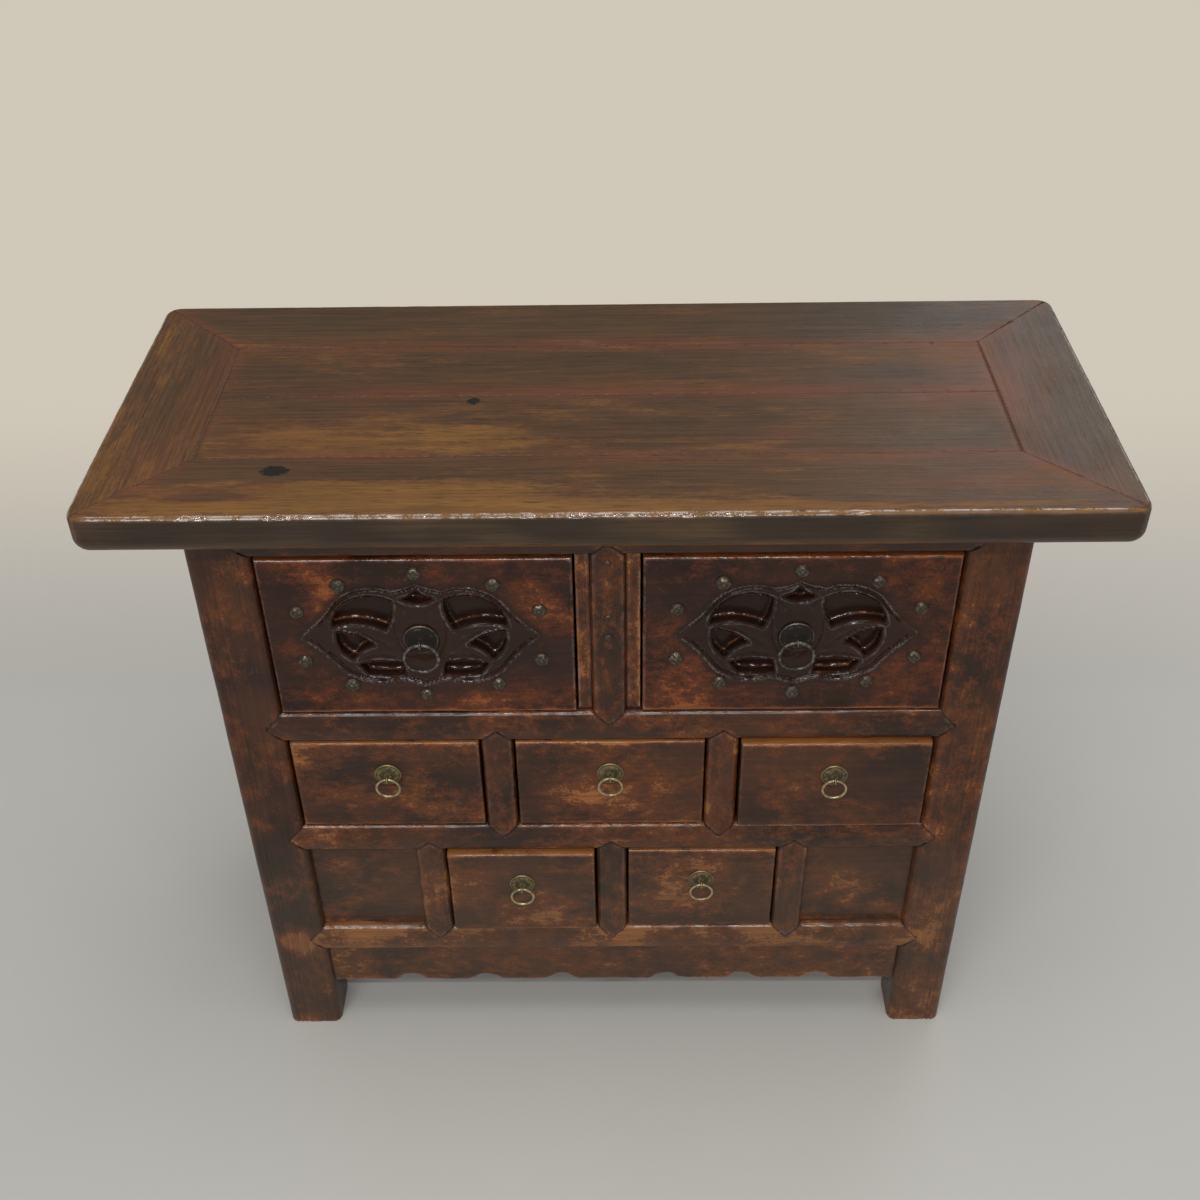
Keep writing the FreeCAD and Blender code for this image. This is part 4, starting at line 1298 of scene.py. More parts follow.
@dataclass
class WornBoard:
    """A board, softened, chipped and rubbed from its node's own shape."""

    node: str
    finish: Finish
    worn: float = 0.12
    rubs: Rubs = ()
    grid: float = 0.0024
    keep: float = 0.4
    soften: int = 3
    swell: float = 0.0005
    swell_size: float = 0.07
    chip: float = 0.0012
    chip_size: float = 0.014
    seed: float = 1.0
    # how strongly the hollows that the relief finds are darkened
    hollow_darkening: float = 1.0
    rubbed_edge: float = 1.0
    lies_flat: bool = False
    body: str = CARCASS
    slot: Slot = Slot.LACQUERED

    EDGE_REACH: ClassVar[float] = 0.006
    EDGE_HEIGHT: ClassVar[float] = 0.0011
    JOINT: ClassVar[float] = 0.0012
    JOINT_REACH: ClassVar[float] = 0.002
    JOINT_DARK: ClassVar[float] = 0.12
    SEARCH: ClassVar[float] = 0.0072
    SMOOTH_ANGLE: ClassVar[float] = math.radians(42)
    next_piece: ClassVar[int] = 0

    def build(self) -> bpy.types.Object:
        """Make the board.

        Returns:
            The finished piece, standing for its node.
        """
        exact = merged_copy(self.node)
        boxes = solid_boxes(exact)
        piece = new_piece(self.node + "_worn", exact)
        self.divide(piece)
        reach = reach_to_neighbours(self.node, points_of(piece.data), self.SEARCH)
        free = np.clip((reach - self.JOINT) / self.JOINT_REACH, 0.0, 1.0)
        self.shape(piece.data, free)
        self.mark_edges(piece.data, free)
        self.mark_wear(piece.data, reach)
        self.mark_solids(piece.data, boxes)
        WornSurface.run(piece, {
            "Swell": self.swell, "Swell Size": self.swell_size, "Chip": self.chip,
            "Chip Size": self.chip_size, "Seed": self.seed, "Finish": self.finish.material()})
        if self.keep < 1.0:
            thin = piece.modifiers.new("Thin", "DECIMATE")
            thin.ratio = self.keep
        settle(piece)
        piece.data.shade_smooth()
        piece.data.set_sharp_from_angle(angle=self.SMOOTH_ANGLE)
        hand_over(piece, self.node, self.body)
        return piece

    def divide(self, piece: bpy.types.Object) -> None:
        """Give the piece an even mesh that lies on its own surface.

        Args:
            piece: The piece, with its exact mesh.
        """
        exact = new_piece("exact", piece.data.copy())
        remesh = piece.modifiers.new("Divide", "REMESH")
        remesh.mode = "VOXEL"
        remesh.voxel_size = self.grid
        snap = piece.modifiers.new("Snap", "SHRINKWRAP")
        snap.target = exact
        settle(piece)
        snap_to_edges(piece.data, exact.data, self.grid)
        bpy.data.meshes.remove(exact.data)

    def shape(self, mesh: bpy.types.Mesh, free: np.ndarray) -> None:
        """Soften the edges that aren't in a joint.

        Args:
            mesh: The board's mesh.
            free: How free of other pieces each point is, from 0 to 1.
        """
        points = points_of(mesh)
        soft = eased(points, edges_of(mesh), self.soften)
        set_points(mesh, points + (soft - points) * free[:, None])

    def mark_edges(self, mesh: bpy.types.Mesh, free: np.ndarray) -> None:
        """Write free edges as edge, and hollows and the edges in joints as hollow.

        Args:
            mesh: The board's mesh.
            free: How free of other pieces each point is, from 0 to 1.
        """
        steps = max(2, round((self.EDGE_REACH / self.grid) ** 2))
        stand = relief(mesh, steps) / self.EDGE_HEIGHT
        edge = np.clip(stand, 0.0, 1.0)
        set_mark(mesh, "edge", self.rubbed_edge * edge * free)
        hollow = self.hollow_darkening * np.clip(-stand, 0.0, 1.0)
        set_mark(mesh, "hollow", np.maximum(hollow, self.JOINT_DARK * edge * (1 - free)))

    def mark_wear(self, mesh: bpy.types.Mesh, reach: np.ndarray) -> None:
        """Write how worn each point is.

        Args:
            mesh: The board's mesh.
            reach: Distance from each point to the pieces next to the board; not used by this method.
        """
        set_mark(mesh, "worn", self.worn + self.rubbed(points_of(mesh), self.rubs))

    def rubbed(self, points: np.ndarray, rubs: Rubs) -> np.ndarray:
        """How much some rubs add at each point.

        Args:
            points: Rows of x, y and z.
            rubs: The rubs, placed in shares of the points' own box.

        Returns:
            One value for each point.
        """
        low, size = points.min(0), np.ptp(points, 0)
        axes = (0, 1) if self.lies_flat else (0, 2)
        total = np.zeros(len(points))
        for rub in rubs:
            across = (points[:, axes[0]] - low[axes[0]] - rub.across * size[axes[0]]) / rub.reach_across
            up = (points[:, axes[1]] - low[axes[1]] - rub.up * size[axes[1]]) / rub.reach_up
            total += rub.amount * np.exp(-across * across - up * up)
        return total

    def mark_solids(self, mesh: bpy.types.Mesh, boxes: list[tuple[np.ndarray, np.ndarray]]) -> None:
        """Write which solid of the node each point belongs to.

        Args:
            mesh: The board's mesh.
            boxes: The corners of the node's solids.
        """
        points = points_of(mesh)
        middles = np.array([(low + high) / 2 for low, high in boxes])
        halves = np.array([(high - low) / 2 for low, high in boxes])
        outside = np.maximum(np.abs(points[:, None, :] - middles) - halves, 0.0).sum(2)
        set_mark(mesh, "piece", WornBoard.next_piece + outside.argmin(1))
        WornBoard.next_piece += len(boxes)


@dataclass
class TopBoard(WornBoard):
    """A board of the top, exact at its seams and knocked about along the outer edge."""

    grid: float = 0.006
    keep: float = 1.0
    swell: float = 0.00012
    swell_size: float = 0.09
    chip: float = 0.0007
    chip_size: float = 0.016
    lies_flat: bool = True
    stains: Rubs = ()
    seam: float = 0.75
    seam_wear: float = 0.06
    # painted shade: how much wear the upright faces lose, so that they show darker lacquer
    shadow: float = 0.24

    ARRIS: ClassVar[float] = 0.0018
    ARRIS_REACH: ClassVar[float] = 0.0032
    SEAM_REACH: ClassVar[float] = 0.011
    SEAM_DIRT: ClassVar[float] = 0.12
    SIDE_SHADE_SIZE: ClassVar[float] = 0.11
    RED_SIZE: ClassVar[float] = 0.16
    SHADOW_SIZE: ClassVar[float] = 0.06
    SEARCH: ClassVar[float] = 0.03

    def divide(self, piece: bpy.types.Object) -> None:
        """Divide the exact shape into short edges."""
        refine(piece.data, self.grid)

    def shape(self, mesh: bpy.types.Mesh, free: np.ndarray) -> None:
        """Leave the shape as it is, because the solid's edges are already round."""

    def mark_edges(self, mesh: bpy.types.Mesh, free: np.ndarray) -> None:
        """Write the outer arris as edge, the seams as slight hollows, and patches of painted shade on the
        outer side faces.

        Args:
            mesh: The board's mesh.
            free: How free of other pieces each point is, from 0 to 1.
        """
        points = points_of(mesh)
        low, high = np.array(CAD_BOX[0]), np.array(CAD_BOX[1])
        inset = np.minimum(points[:, :2] - low[:2], high[:2] - points[:, :2]).min(1)
        below = high[2] - points[:, 2]
        far = (inset - self.ARRIS) ** 2 + (below - self.ARRIS) ** 2
        set_mark(mesh, "edge", np.exp(-far / self.ARRIS_REACH ** 2))
        # painted shade: the outer upright faces below the arris are darkened in patches through the hollow
        # mark
        side = np.clip(1.0 - 2 * np.abs(normals_of(mesh)[:, 2]), 0.0, 1.0) * (inset < self.ARRIS)
        patchy = np.clip(0.62 - 0.45 * lumps(points, self.SIDE_SHADE_SIZE, round(self.seed) + 8), 0.1, 0.8)
        set_mark(mesh, "hollow", np.maximum(self.SEAM_DIRT * (free == 0.0), patchy * side))

    def mark_wear(self, mesh: bpy.types.Mesh, reach: np.ndarray) -> None:
        """Write red stains and bands along seams and some more wear there, and paint shade on upright faces
        as less wear.

        Args:
            mesh: The board's mesh.
            reach: Distance from each point to the pieces next to the board.
        """
        super().mark_wear(mesh, reach)
        worn, points = mark_of(mesh, "worn"), points_of(mesh)
        level = np.abs(normals_of(mesh)[:, 2])
        near = np.exp(-((reach / self.SEAM_REACH) ** 2))
        patchy = np.clip(0.65 + 0.55 * lumps(points, self.RED_SIZE, round(self.seed)), 0.0, 1.0)
        red = self.seam * near * patchy + self.rubbed(points, self.stains)
        set_mark(mesh, "seam", np.clip(red, 0.0, 1.0))
        worn += self.seam_wear * near
        # painted shade: upright faces lose wear in patches and show the darker lacquer
        patchy = np.clip(1.0 - lumps(points, self.SHADOW_SIZE, round(self.seed) + 9), 0.0, 1.6)
        worn -= self.shadow * np.clip(1.2 - 2 * level, 0.0, 1.0) * patchy
        set_mark(mesh, "worn", worn)


# Carving


def arc(start: np.ndarray, through: np.ndarray, end: np.ndarray, count: int) -> np.ndarray:
    """Points along the arc from start to end, without the end itself.

    Args:
        start: Where the arc begins.
        through: A point on it.
        end: Where it ends.
        count: How many points.

    Returns:
        Rows of two coordinates.
    """
    a, b, c = (complex(*point) for point in (start, through, end))
    ratio = (c - a) / (b - a)
    if abs(ratio.imag) < MERGE:
        return np.linspace(start, end, count, endpoint=False)
    centre = (b - a) * (ratio - abs(ratio) ** 2) / (2j * ratio.imag) + a
    first = a - centre
    turn = np.angle((c - centre) / first)
    halfway = np.angle((b - centre) / first)
    if (turn > 0) != (halfway > 0) or abs(halfway) > abs(turn):
        turn -= math.copysign(2 * math.pi, turn)
    path = centre + first * np.exp(1j * turn * np.arange(count) / count)
    return np.stack([path.real, path.imag], 1)


def traced(outline: Outline, half: np.ndarray, spacing: float) -> np.ndarray:
    """Points along an outline of corners, each followed by a point on the arc to the next, or None.

    Args:
        outline: The outline, in shares of the carving's half length and half height.
        half: Half length and half height.
        spacing: Distance between points.

    Returns:
        Rows of two coordinates in metres.
    """
    runs = []
    for start, through, end in zip(outline[0:-2:2], outline[1::2], outline[2::2]):
        corners = np.array([start, end]) * half
        middle = corners.mean(0) if through is None else np.array(through) * half
        count = max(2, math.ceil(np.linalg.norm(corners[1] - corners[0]) * 1.2 / spacing))
        runs.append(arc(corners[0], middle, corners[1], count))
    return np.concatenate(runs)


def nearest(points: np.ndarray, line: np.ndarray) -> np.ndarray:
    """Distance from each point to the nearest point of a line.

    Args:
        points: Rows of two coordinates.
        line: Rows of points along the line.

    Returns:
        Distances in metres.
    """
    reach = np.full(len(points), np.inf)
    for block in np.array_split(line, max(1, len(line) // 40)):
        apart = ((points[:, None, :] - block) ** 2).sum(2)
        reach = np.minimum(reach, apart.min(1))
    return np.sqrt(reach)


def inside(points: np.ndarray, line: np.ndarray) -> np.ndarray:
    """Whether each point lies inside a closed line.

    Args:
        points: Rows of two coordinates.
        line: Rows of points along the line.

    Returns:
        One answer for each point.
    """
    within = np.zeros(len(points), bool)
    for (x0, y0), (x1, y1) in zip(line, np.roll(line, -1, 0)):
        crosses = (y0 > points[:, 1]) != (y1 > points[:, 1])
        if crosses.any():
            at = x0 + (points[:, 1] - y0) * (x1 - x0) / (y1 - y0 + 1e-12)
            within ^= crosses & (points[:, 0] < at)
    return within


CARTOUCHE: Outline = (
    (0.0, 1.0), (0.097, 0.925), (0.218, 0.873), (0.468, 0.918), (0.734, 0.558), (0.839, 0.30), (1.0, 0.0))
BUD: Outline = (
    (0.0, 0.91), (0.056, 0.79), (0.137, 0.735), (0.0, 0.64), (-0.137, 0.735), (-0.056, 0.79), (0.0, 0.91))
LEAF: Outline = (
    (0.218, 0.687), (0.371, 0.776), (0.532, 0.735), (0.68, 0.522), (0.75, 0.18), (0.548, 0.254),
    (0.298, 0.119), (0.238, 0.373), (0.218, 0.687))
TIP: Outline = (
    (0.718, 0.075), (0.573, 0.015), (0.411, -0.194), (0.524, -0.299), (0.605, -0.493), (0.71, -0.239),
    (0.718, 0.075))
FOOT: Outline = (
    (0.194, -0.567), (0.379, -0.537), (0.565, -0.597), None, (0.484, -0.806), (0.323, -0.836),
    (0.169, -0.821), None, (0.194, -0.567))
VEINS: tuple[Outline, ...] = (
    ((0.185, 0.66), (0.105, 0.54), (0.07, 0.34)),
    ((0.13, -0.40), (0.20, -0.10), (0.205, 0.30)),
    ((0.26, -0.30), (0.42, -0.02), (0.68, 0.13)),
    ((0.22, -0.46), (0.36, -0.40), (0.52, -0.48)),
)


@dataclass
class CarvedFront(WornBoard):
    """An upper drawer's front: leaves between deep windows, in a pointed cartouche with a raised rim."""

    grid: float = 0.0014
    keep: float = 0.5
    soften: int = 1
    chip: float = 0.0012
    chip_size: float = 0.007
    half_length: float = 0.124
    half_height: float = 0.067
    rise: float = 0.004
    window_depth: float = 0.014
    rim: float = 0.0016
    rim_width: float = 0.0021
    rim_offset: float = 0.0026
    sunk: float = 0.0018
    round_over: float = 0.0026
    vein: float = 0.0012
    vein_width: float = 0.0012
    bead: float = 0.0009
    bead_width: float = 0.0013
    bead_offset: float = 0.0034
    spacing: float = 0.0012
    inner: np.ndarray | None = None

    FIELD_DARK: ClassVar[float] = 0.62
    FIELD_UNWORN: ClassVar[float] = 0.35
    FACING: ClassVar[float] = -0.6
    DEEP: ClassVar[float] = 0.004
    SILL_LEVEL: ClassVar[float] = 0.3
    SILL_HIGHLIGHT: ClassVar[float] = 0.8
    BORDER_LUMP: ClassVar[float] = 0.0005
    BORDER_LUMP_SIZE: ClassVar[float] = 0.018
    RIM_LUMP_SIZE: ClassVar[float] = 0.006
    FIELD_LUMP: ClassVar[float] = 0.0003
    FIELD_LUMP_SIZE: ClassVar[float] = 0.016
    BORDER_SEED: ClassVar[int] = 3
    RIM_SEED: ClassVar[int] = 4
    FIELD_SEED: ClassVar[int] = 5

    def shape(self, mesh: bpy.types.Mesh, free: np.ndarray) -> None:
        """Raise the lumpy rim, round the leaves over towards the windows, bead them and cut their veins.

        Args:
            mesh: The front's mesh.
            free: How free of other pieces each point is, from 0 to 1.
        """
        super().shape(mesh, free)
        points = points_of(mesh)
        facing = normals_of(mesh)[:, 1] < self.FACING
        front = np.flatnonzero((points[:, 1] < points[:, 1].min() + self.spacing) & facing)
        place = self.flat(points[front])
        half = np.array([self.half_length, self.half_height])
        quarter = traced(CARTOUCHE, half, self.spacing)
        right = np.concatenate([quarter, quarter[::-1] * [1, -1]])
        border = np.concatenate([right, right[::-1] * [-1, 1]])
        windows = [traced(outline, half, self.spacing) for outline in (BUD, LEAF, TIP, FOOT)]
        windows = np.concatenate([line * side for line in windows for side in ([1, 1], [-1, 1])])
        veins = [traced(outline, half, self.spacing) for outline in VEINS]
        veins = np.concatenate([line * side for line in veins for side in ([1, 1], [-1, 1])])

        to_border = nearest(place, border) * np.where(inside(place, border), -1, 1)
        to_border += self.BORDER_LUMP * lumps(place, self.BORDER_LUMP_SIZE, self.BORDER_SEED)
        to_window = nearest(place, windows)
        rim = self.rim * np.exp(-((to_border - self.rim_offset) / self.rim_width) ** 2)
        rim *= np.clip(0.75 + 0.45 * lumps(place, self.RIM_LUMP_SIZE, self.RIM_SEED), 0.0, 1.2)
        field = 1 / (1 + np.exp(to_border / self.rim_width * 2 + 2))
        edge = np.exp(-((to_window / self.round_over) ** 2))
        vein = np.exp(-((nearest(place, veins) / self.vein_width) ** 2))
        bead = self.bead * np.exp(-(((to_window - self.bead_offset) / self.bead_width) ** 2))
        uneven = self.FIELD_LUMP * lumps(place, self.FIELD_LUMP_SIZE, self.FIELD_SEED) - bead
        points[front, 1] -= rim - field * (self.sunk * (0.4 + 0.6 * edge) + self.vein * vein + uneven)
        set_points(mesh, points)
        self.inner = np.zeros(len(points))
        self.inner[front] = np.maximum(field, np.clip(rim / self.rim, 0.0, 1.0))

    def flat(self, points: np.ndarray) -> np.ndarray:
        """Places of points across and up from the cartouche's middle.

        Args:
            points: Rows of x, y and z.

        Returns:
            Rows of two coordinates.
        """
        low, high = NODE_BOXES[self.node]
        middle = (low + high) / 2
        return points[:, [0, 2]] - np.array([middle[0], middle[2] + self.rise])

    def mark_edges(self, mesh: bpy.types.Mesh, free: np.ndarray) -> None:
        """Paint shade in the windows by marking them fully hollow, and a highlight along the back of their
        sills, painted as lighter edge wear with a glossier coat.

        Args:
            mesh: The front's mesh.
            free: How free of other pieces each point is, from 0 to 1.
        """
        super().mark_edges(mesh, free)
        points = points_of(mesh)
        depth = points[:, 1] - NODE_BOXES[self.node][0][1]
        within = (np.abs(self.flat(points)) < [self.half_length, self.half_height]).all(1)
        behind = np.abs(depth - self.window_depth + self.grid) < self.grid * 1.2
        sill = within & behind & (normals_of(mesh)[:, 2] > self.SILL_LEVEL)
        # painted shade: the walls and floors of the windows are darkened fully, standing for the dark
        # openings of the pierced carving
        deep = within & (depth > self.DEEP) & ~sill
        hollow, edge = mark_of(mesh, "hollow"), mark_of(mesh, "edge")
        hollow = np.maximum(hollow, self.FIELD_DARK * self.inner)
        hollow[deep] = 1.0
        # painted highlight: the back of each sill gets no shade and is marked as a worn, glossy edge
        hollow[sill] = 0.0
        edge[sill] = self.SILL_HIGHLIGHT
        set_mark(mesh, "hollow", hollow)
        set_mark(mesh, "edge", edge)

    def mark_wear(self, mesh: bpy.types.Mesh, reach: np.ndarray) -> None:
        """Write less wear inside the cartouche and on its rim."""
        super().mark_wear(mesh, reach)
        set_mark(mesh, "worn", mark_of(mesh, "worn") - self.FIELD_UNWORN * self.inner)


# Metalwork


def turned_mesh(
    name: str, profile: list[tuple[float, float]], centre: Vector, segments: int,
    lobes: int = 0, lobe: float = 0.0,
) -> bpy.types.Mesh:
    """Turn a profile about the level axis through a centre.

    Args:
        name: The mesh's name.
        profile: Pairs of radius and y, from the front's middle to the back's middle.
        centre: Where the axis passes.
        segments: Steps round the axis.
        lobes: How many petals the rim has.
        lobe: How deep they are, as a share of the radius.

    Returns:
        The closed mesh.
    """
    shell = bmesh.new()
    widest = max(radius for radius, _ in profile)
    rings = []
    for radius, y in profile:
        if radius < MERGE:
            rings.append([shell.verts.new((centre.x, y, centre.z))])
            continue
        ring = []
        for step in range(segments):
            angle = 2 * math.pi * step / segments
            petal = radius * (1 + lobe * (radius / widest) ** 2 * math.cos(lobes * angle))
            x, z = centre.x + petal * math.cos(angle), centre.z + petal * math.sin(angle)
            ring.append(shell.verts.new((x, y, z)))
        rings.append(ring)
    for inner, outer in zip(rings, rings[1:]):
        for step in range(segments):
            following = (step + 1) % segments
            corners = {
                inner[step % len(inner)]: None, inner[following % len(inner)]: None,
                outer[following % len(outer)]: None, outer[step % len(outer)]: None}
            shell.faces.new(list(corners))
    bmesh.ops.recalc_face_normals(shell, faces=shell.faces)
    mesh = bpy.data.meshes.new(name)
    shell.to_mesh(mesh)
    shell.free()
    mesh.shade_smooth()
    return mesh


def hoop_mesh(
    name: str, centre: Vector, axis: int, radius: float, wire: float, uneven: float, seed: int,
) -> bpy.types.Mesh:
    """A closed wire hoop, a little uneven as forged wire is.

    Args:
        name: The mesh's name.
        centre: The hoop's middle.
        axis: The coordinate that the hoop faces along.
        radius: From the middle to the wire's middle.
        wire: The wire's diameter.
        uneven: How much the wire's thickness varies, as a share.
        seed: Seed of that variation.

    Returns:
        The closed mesh.
    """
    around, across = 96, 20
    random = np.random.default_rng(seed)
    waves = random.uniform(0, 2 * math.pi, 4)
    turn = 2 * math.pi * np.arange(around) / around
    vary = sum(np.sin((wave + 1) * turn + waves[wave]) / (wave + 1) for wave in range(4)) * uneven / 2
    thick = wire / 2 * (1 - uneven + vary)
    section = 2 * math.pi * np.arange(across) / across
    reach = radius + thick[:, None] * np.cos(section)
    depth = thick[:, None] * np.sin(section)
    first, second = ((axis + 1) % 3, (axis + 2) % 3)
    points = np.zeros((around, across, 3))
    points[..., first] = reach * np.cos(turn)[:, None]
    points[..., second] = reach * np.sin(turn)[:, None]
    points[..., axis] = depth
    points += np.array(centre)
    shell = bmesh.new()
    rows = [[shell.verts.new(point) for point in row] for row in points]
    for step in range(around):
        for side in range(across):
            after, beside = (step + 1) % around, (side + 1) % across
            shell.faces.new((rows[step][side], rows[after][side], rows[after][beside], rows[step][beside]))
    bmesh.ops.recalc_face_normals(shell, faces=shell.faces)
    mesh = bpy.data.meshes.new(name)
    shell.to_mesh(mesh)
    shell.free()
    mesh.shade_smooth()
    return mesh


def joined(name: str, meshes: list[bpy.types.Mesh]) -> bpy.types.Mesh:
    """One mesh of several.

    Args:
        name: The new mesh's name.
        meshes: The meshes, which are used up.

    Returns:
        The joined mesh.
    """
    shell = bmesh.new()
    for mesh in meshes:
        shell.from_mesh(mesh)
        bpy.data.meshes.remove(mesh)
    mesh = bpy.data.meshes.new(name)
    shell.to_mesh(mesh)
    shell.free()
    mesh.shade_smooth()
    return mesh


@dataclass
class NailHeads:
    """Domed nail heads at the places of a node's solids."""

    node: str
    carrier: str
    finish: AgedMetal
    lobes: int
    lobe: float
    variety: float
    seed: int
    body: str = CARCASS
    sunk: float = 0.0012
    segments: int = 36

    PROFILE: ClassVar[Profile] = (
        (0.0, 1.0), (0.14, 0.98), (0.26, 0.90), (0.34, 0.80), (0.44, 0.80), (0.58, 0.75), (0.72, 0.62),
        (0.84, 0.45), (0.94, 0.24), (0.99, 0.08), (1.0, 0.0))
    SKIRT: ClassVar[float] = 0.97
    DENT: ClassVar[float] = 0.09
    EDGE_HEIGHT: ClassVar[float] = 0.10

    def build(self) -> bpy.types.Object:
        """Make the heads, all in one piece.

        Returns:
            The finished piece.
        """
        boxes = solid_boxes(merged_copy(self.node))
        radius = (boxes[0][1][0] - boxes[0][0][0]) / 2
        rise = NODE_BOXES[self.carrier][0][1] - boxes[0][0][1]
        places = [((low[0] + high[0]) / 2, low[1] + rise, (low[2] + high[2]) / 2) for low, high in boxes]
        cloud = bpy.data.meshes.new(self.node + "_heads")
        cloud.from_pydata(places, [], [])
        piece = new_piece(self.node + "_heads", cloud)
        head = bpy.data.objects.new("head", self.head(radius, rise))
        Scatter.run(piece, {
            "Head": head, "Variety": self.variety, "Seed": self.seed, "Finish": self.finish.material()})
        settle(piece)
        bpy.data.objects.remove(head)
        self.hammer(piece.data, rise)
        mark_relief(piece.data, 3, rise * self.EDGE_HEIGHT)
        piece.data.shade_smooth()
        hand_over(piece, self.node, self.body)
        return piece

    def hammer(self, mesh: bpy.types.Mesh, rise: float) -> None:
        """Dent the heads a little, each in its own way.

        Args:
            mesh: The heads' mesh.
            rise: How far a head stands out.
        """
        points = points_of(mesh)
        points[:, 1] += rise * self.DENT * (1 + lumps(points, rise, self.seed))
        set_points(mesh, points)

    def head(self, radius: float, rise: float) -> bpy.types.Mesh:
        """One head about the origin, facing forwards, with a small boss on a fluted dome.

        Args:
            radius: The head's radius.
            rise: How far it stands out.

        Returns:
            The head's mesh.
        """
        profile = [(radius * out, -rise * up) for out, up in self.PROFILE]
        profile += [(radius * self.SKIRT, self.sunk), (0.0, self.sunk)]
        return turned_mesh("head", profile, Vector(), self.segments, self.lobes, self.lobe)


@dataclass
class RingPull:
    """A round plate, a split pin with its eye, and the ring that hangs in it."""

    drawer: str
    plate_finish: AgedMetal
    ring_finish: AgedMetal
    slot: Slot
    seed: int
    uneven: float = 0.1
    segments: int = 72
    sunk: float = 0.0006
    pin_wire: float = 0.0028

    PLATE: ClassVar[Profile] = (
        (0.0, 0.0), (0.12, 0.0), (0.22, 0.1), (0.34, 0.30), (0.50, 0.42), (0.68, 0.52), (0.80, 0.64),
        (0.85, 0.74), (0.90, 0.62), (0.95, 0.64), (0.995, 0.84), (1.0, 1.0))
    SKIRT: ClassVar[float] = 0.98
    PLATE_EDGE: ClassVar[float] = 0.0006
    RING_EDGE: ClassVar[float] = 0.0008

    def build(self) -> None:
        """Make the plate with its pin, and the ring."""
        self.build_plate()
        self.build_ring()

    def eye(self) -> Vector:
        """The middle of the eye, where the ring hangs."""
        joint = next(joint for joint in frame["joints"] if joint["child"] == self.drawer + "_ring")
        return Vector(joint["pos_m"])

    def build_plate(self) -> None:
        """Make the dished plate and the split pin."""
        node = self.drawer + "_pull"
        plate, pin = solid_boxes(merged_copy(node))
        if plate[1][0] - plate[0][0] < pin[1][0] - pin[0][0]:
            plate, pin = pin, plate
        eye = self.eye()
        radius = (plate[1][0] - plate[0][0]) / 2
        face, crown = plate[1][1], plate[0][1]
        rise = face - crown
        profile = [(radius * out, crown + rise * back) for out, back in self.PLATE]
        profile += [(radius * self.SKIRT, face + self.sunk), (0.0, face + self.sunk)]
        centre = Vector((eye.x, 0.0, eye.z))
        disc = turned_mesh("plate", profile, centre, self.segments)
        loop = hoop_mesh("eye", eye, 0, crown - eye.y - self.pin_wire / 2, self.pin_wire, 0.06, self.seed)
        back = pin[1][1]
        half = self.pin_wire * 0.64
        shank = turned_mesh("shank", [
            (0.0, crown - half), (half, crown), (half, back - half), (0.0, back - half)], centre, 16)
        prongs = self.prongs(pin, back)
        piece = new_piece(node + "_metal", joined(node, [disc, loop, shank, prongs]))
        mark_relief(piece.data, 6, self.PLATE_EDGE)
        edge = mark_of(piece.data, "edge")
        edge[points_of(piece.data)[:, 1] < crown - MERGE] = 1.0
        set_mark(piece.data, "edge", edge)
        piece.data.materials.append(self.plate_finish.material())
        hand_over(piece, node, self.drawer + "_drawer")

    def prongs(self, pin: tuple[np.ndarray, np.ndarray], back: float) -> bpy.types.Mesh:
        """The pin's two clenched ends, which taper along the inside of the front.

        Args:
            pin: Corners of the pin's solid.
            back: The y of the prongs' inner face.

        Returns:
            The prongs' mesh.
        """
        low, high = pin
        middle = Vector((low + high) / 2)
        wide, thick = self.pin_wire * 0.7, self.pin_wire * 0.55
        shell = bmesh.new()
        for z in (low[2], high[2]):
            root = [(-wide, 0.0), (wide, 0.0), (wide, -thick), (-wide, -thick)]
            tip = [(x * 0.4, y * 0.5) for x, y in root]
            rows = []
            for section, level in ((root, middle.z), (root, (middle.z * 2 + z) / 3), (tip, z)):
                rows.append([shell.verts.new((middle.x + x, back + y, level)) for x, y in section])
            for near, far in zip(rows, rows[1:]):
                for side in range(4):
                    beside = (side + 1) % 4
                    shell.faces.new((near[side], near[beside], far[beside], far[side]))
            shell.faces.new(rows[0])
            shell.faces.new(rows[-1])
        bmesh.ops.recalc_face_normals(shell, faces=shell.faces)
        mesh = bpy.data.meshes.new("prongs")
        shell.to_mesh(mesh)
        shell.free()
        return mesh

    def build_ring(self) -> None:
        """Make the ring."""
        node = self.drawer + "_ring"
        low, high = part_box(node)
        wire = high.y - low.y
        radius = (high.z - low.z - wire) / 2
        mesh = hoop_mesh(node, (low + high) / 2, 1, radius, wire, self.uneven, self.seed)
        piece = new_piece(node + "_metal", mesh)
        mark_relief(mesh, 4, self.RING_EDGE)
        mesh.materials.append(self.ring_finish.material())
        hand_over(piece, node, node)


# Sub-assemblies


def dress_nodes(nodes: tuple[str, ...], finish: Finish) -> None:
    """Give nodes that keep their own shape a finish.

    Args:
        nodes: The nodes' names.
        finish: The finish.
    """
    for name in nodes:
        mesh = frame["nodes"][name].data
        mesh.materials.clear()
        mesh.materials.append(finish.material())
        log.info("%s: kept, in %s", name, finish.name)


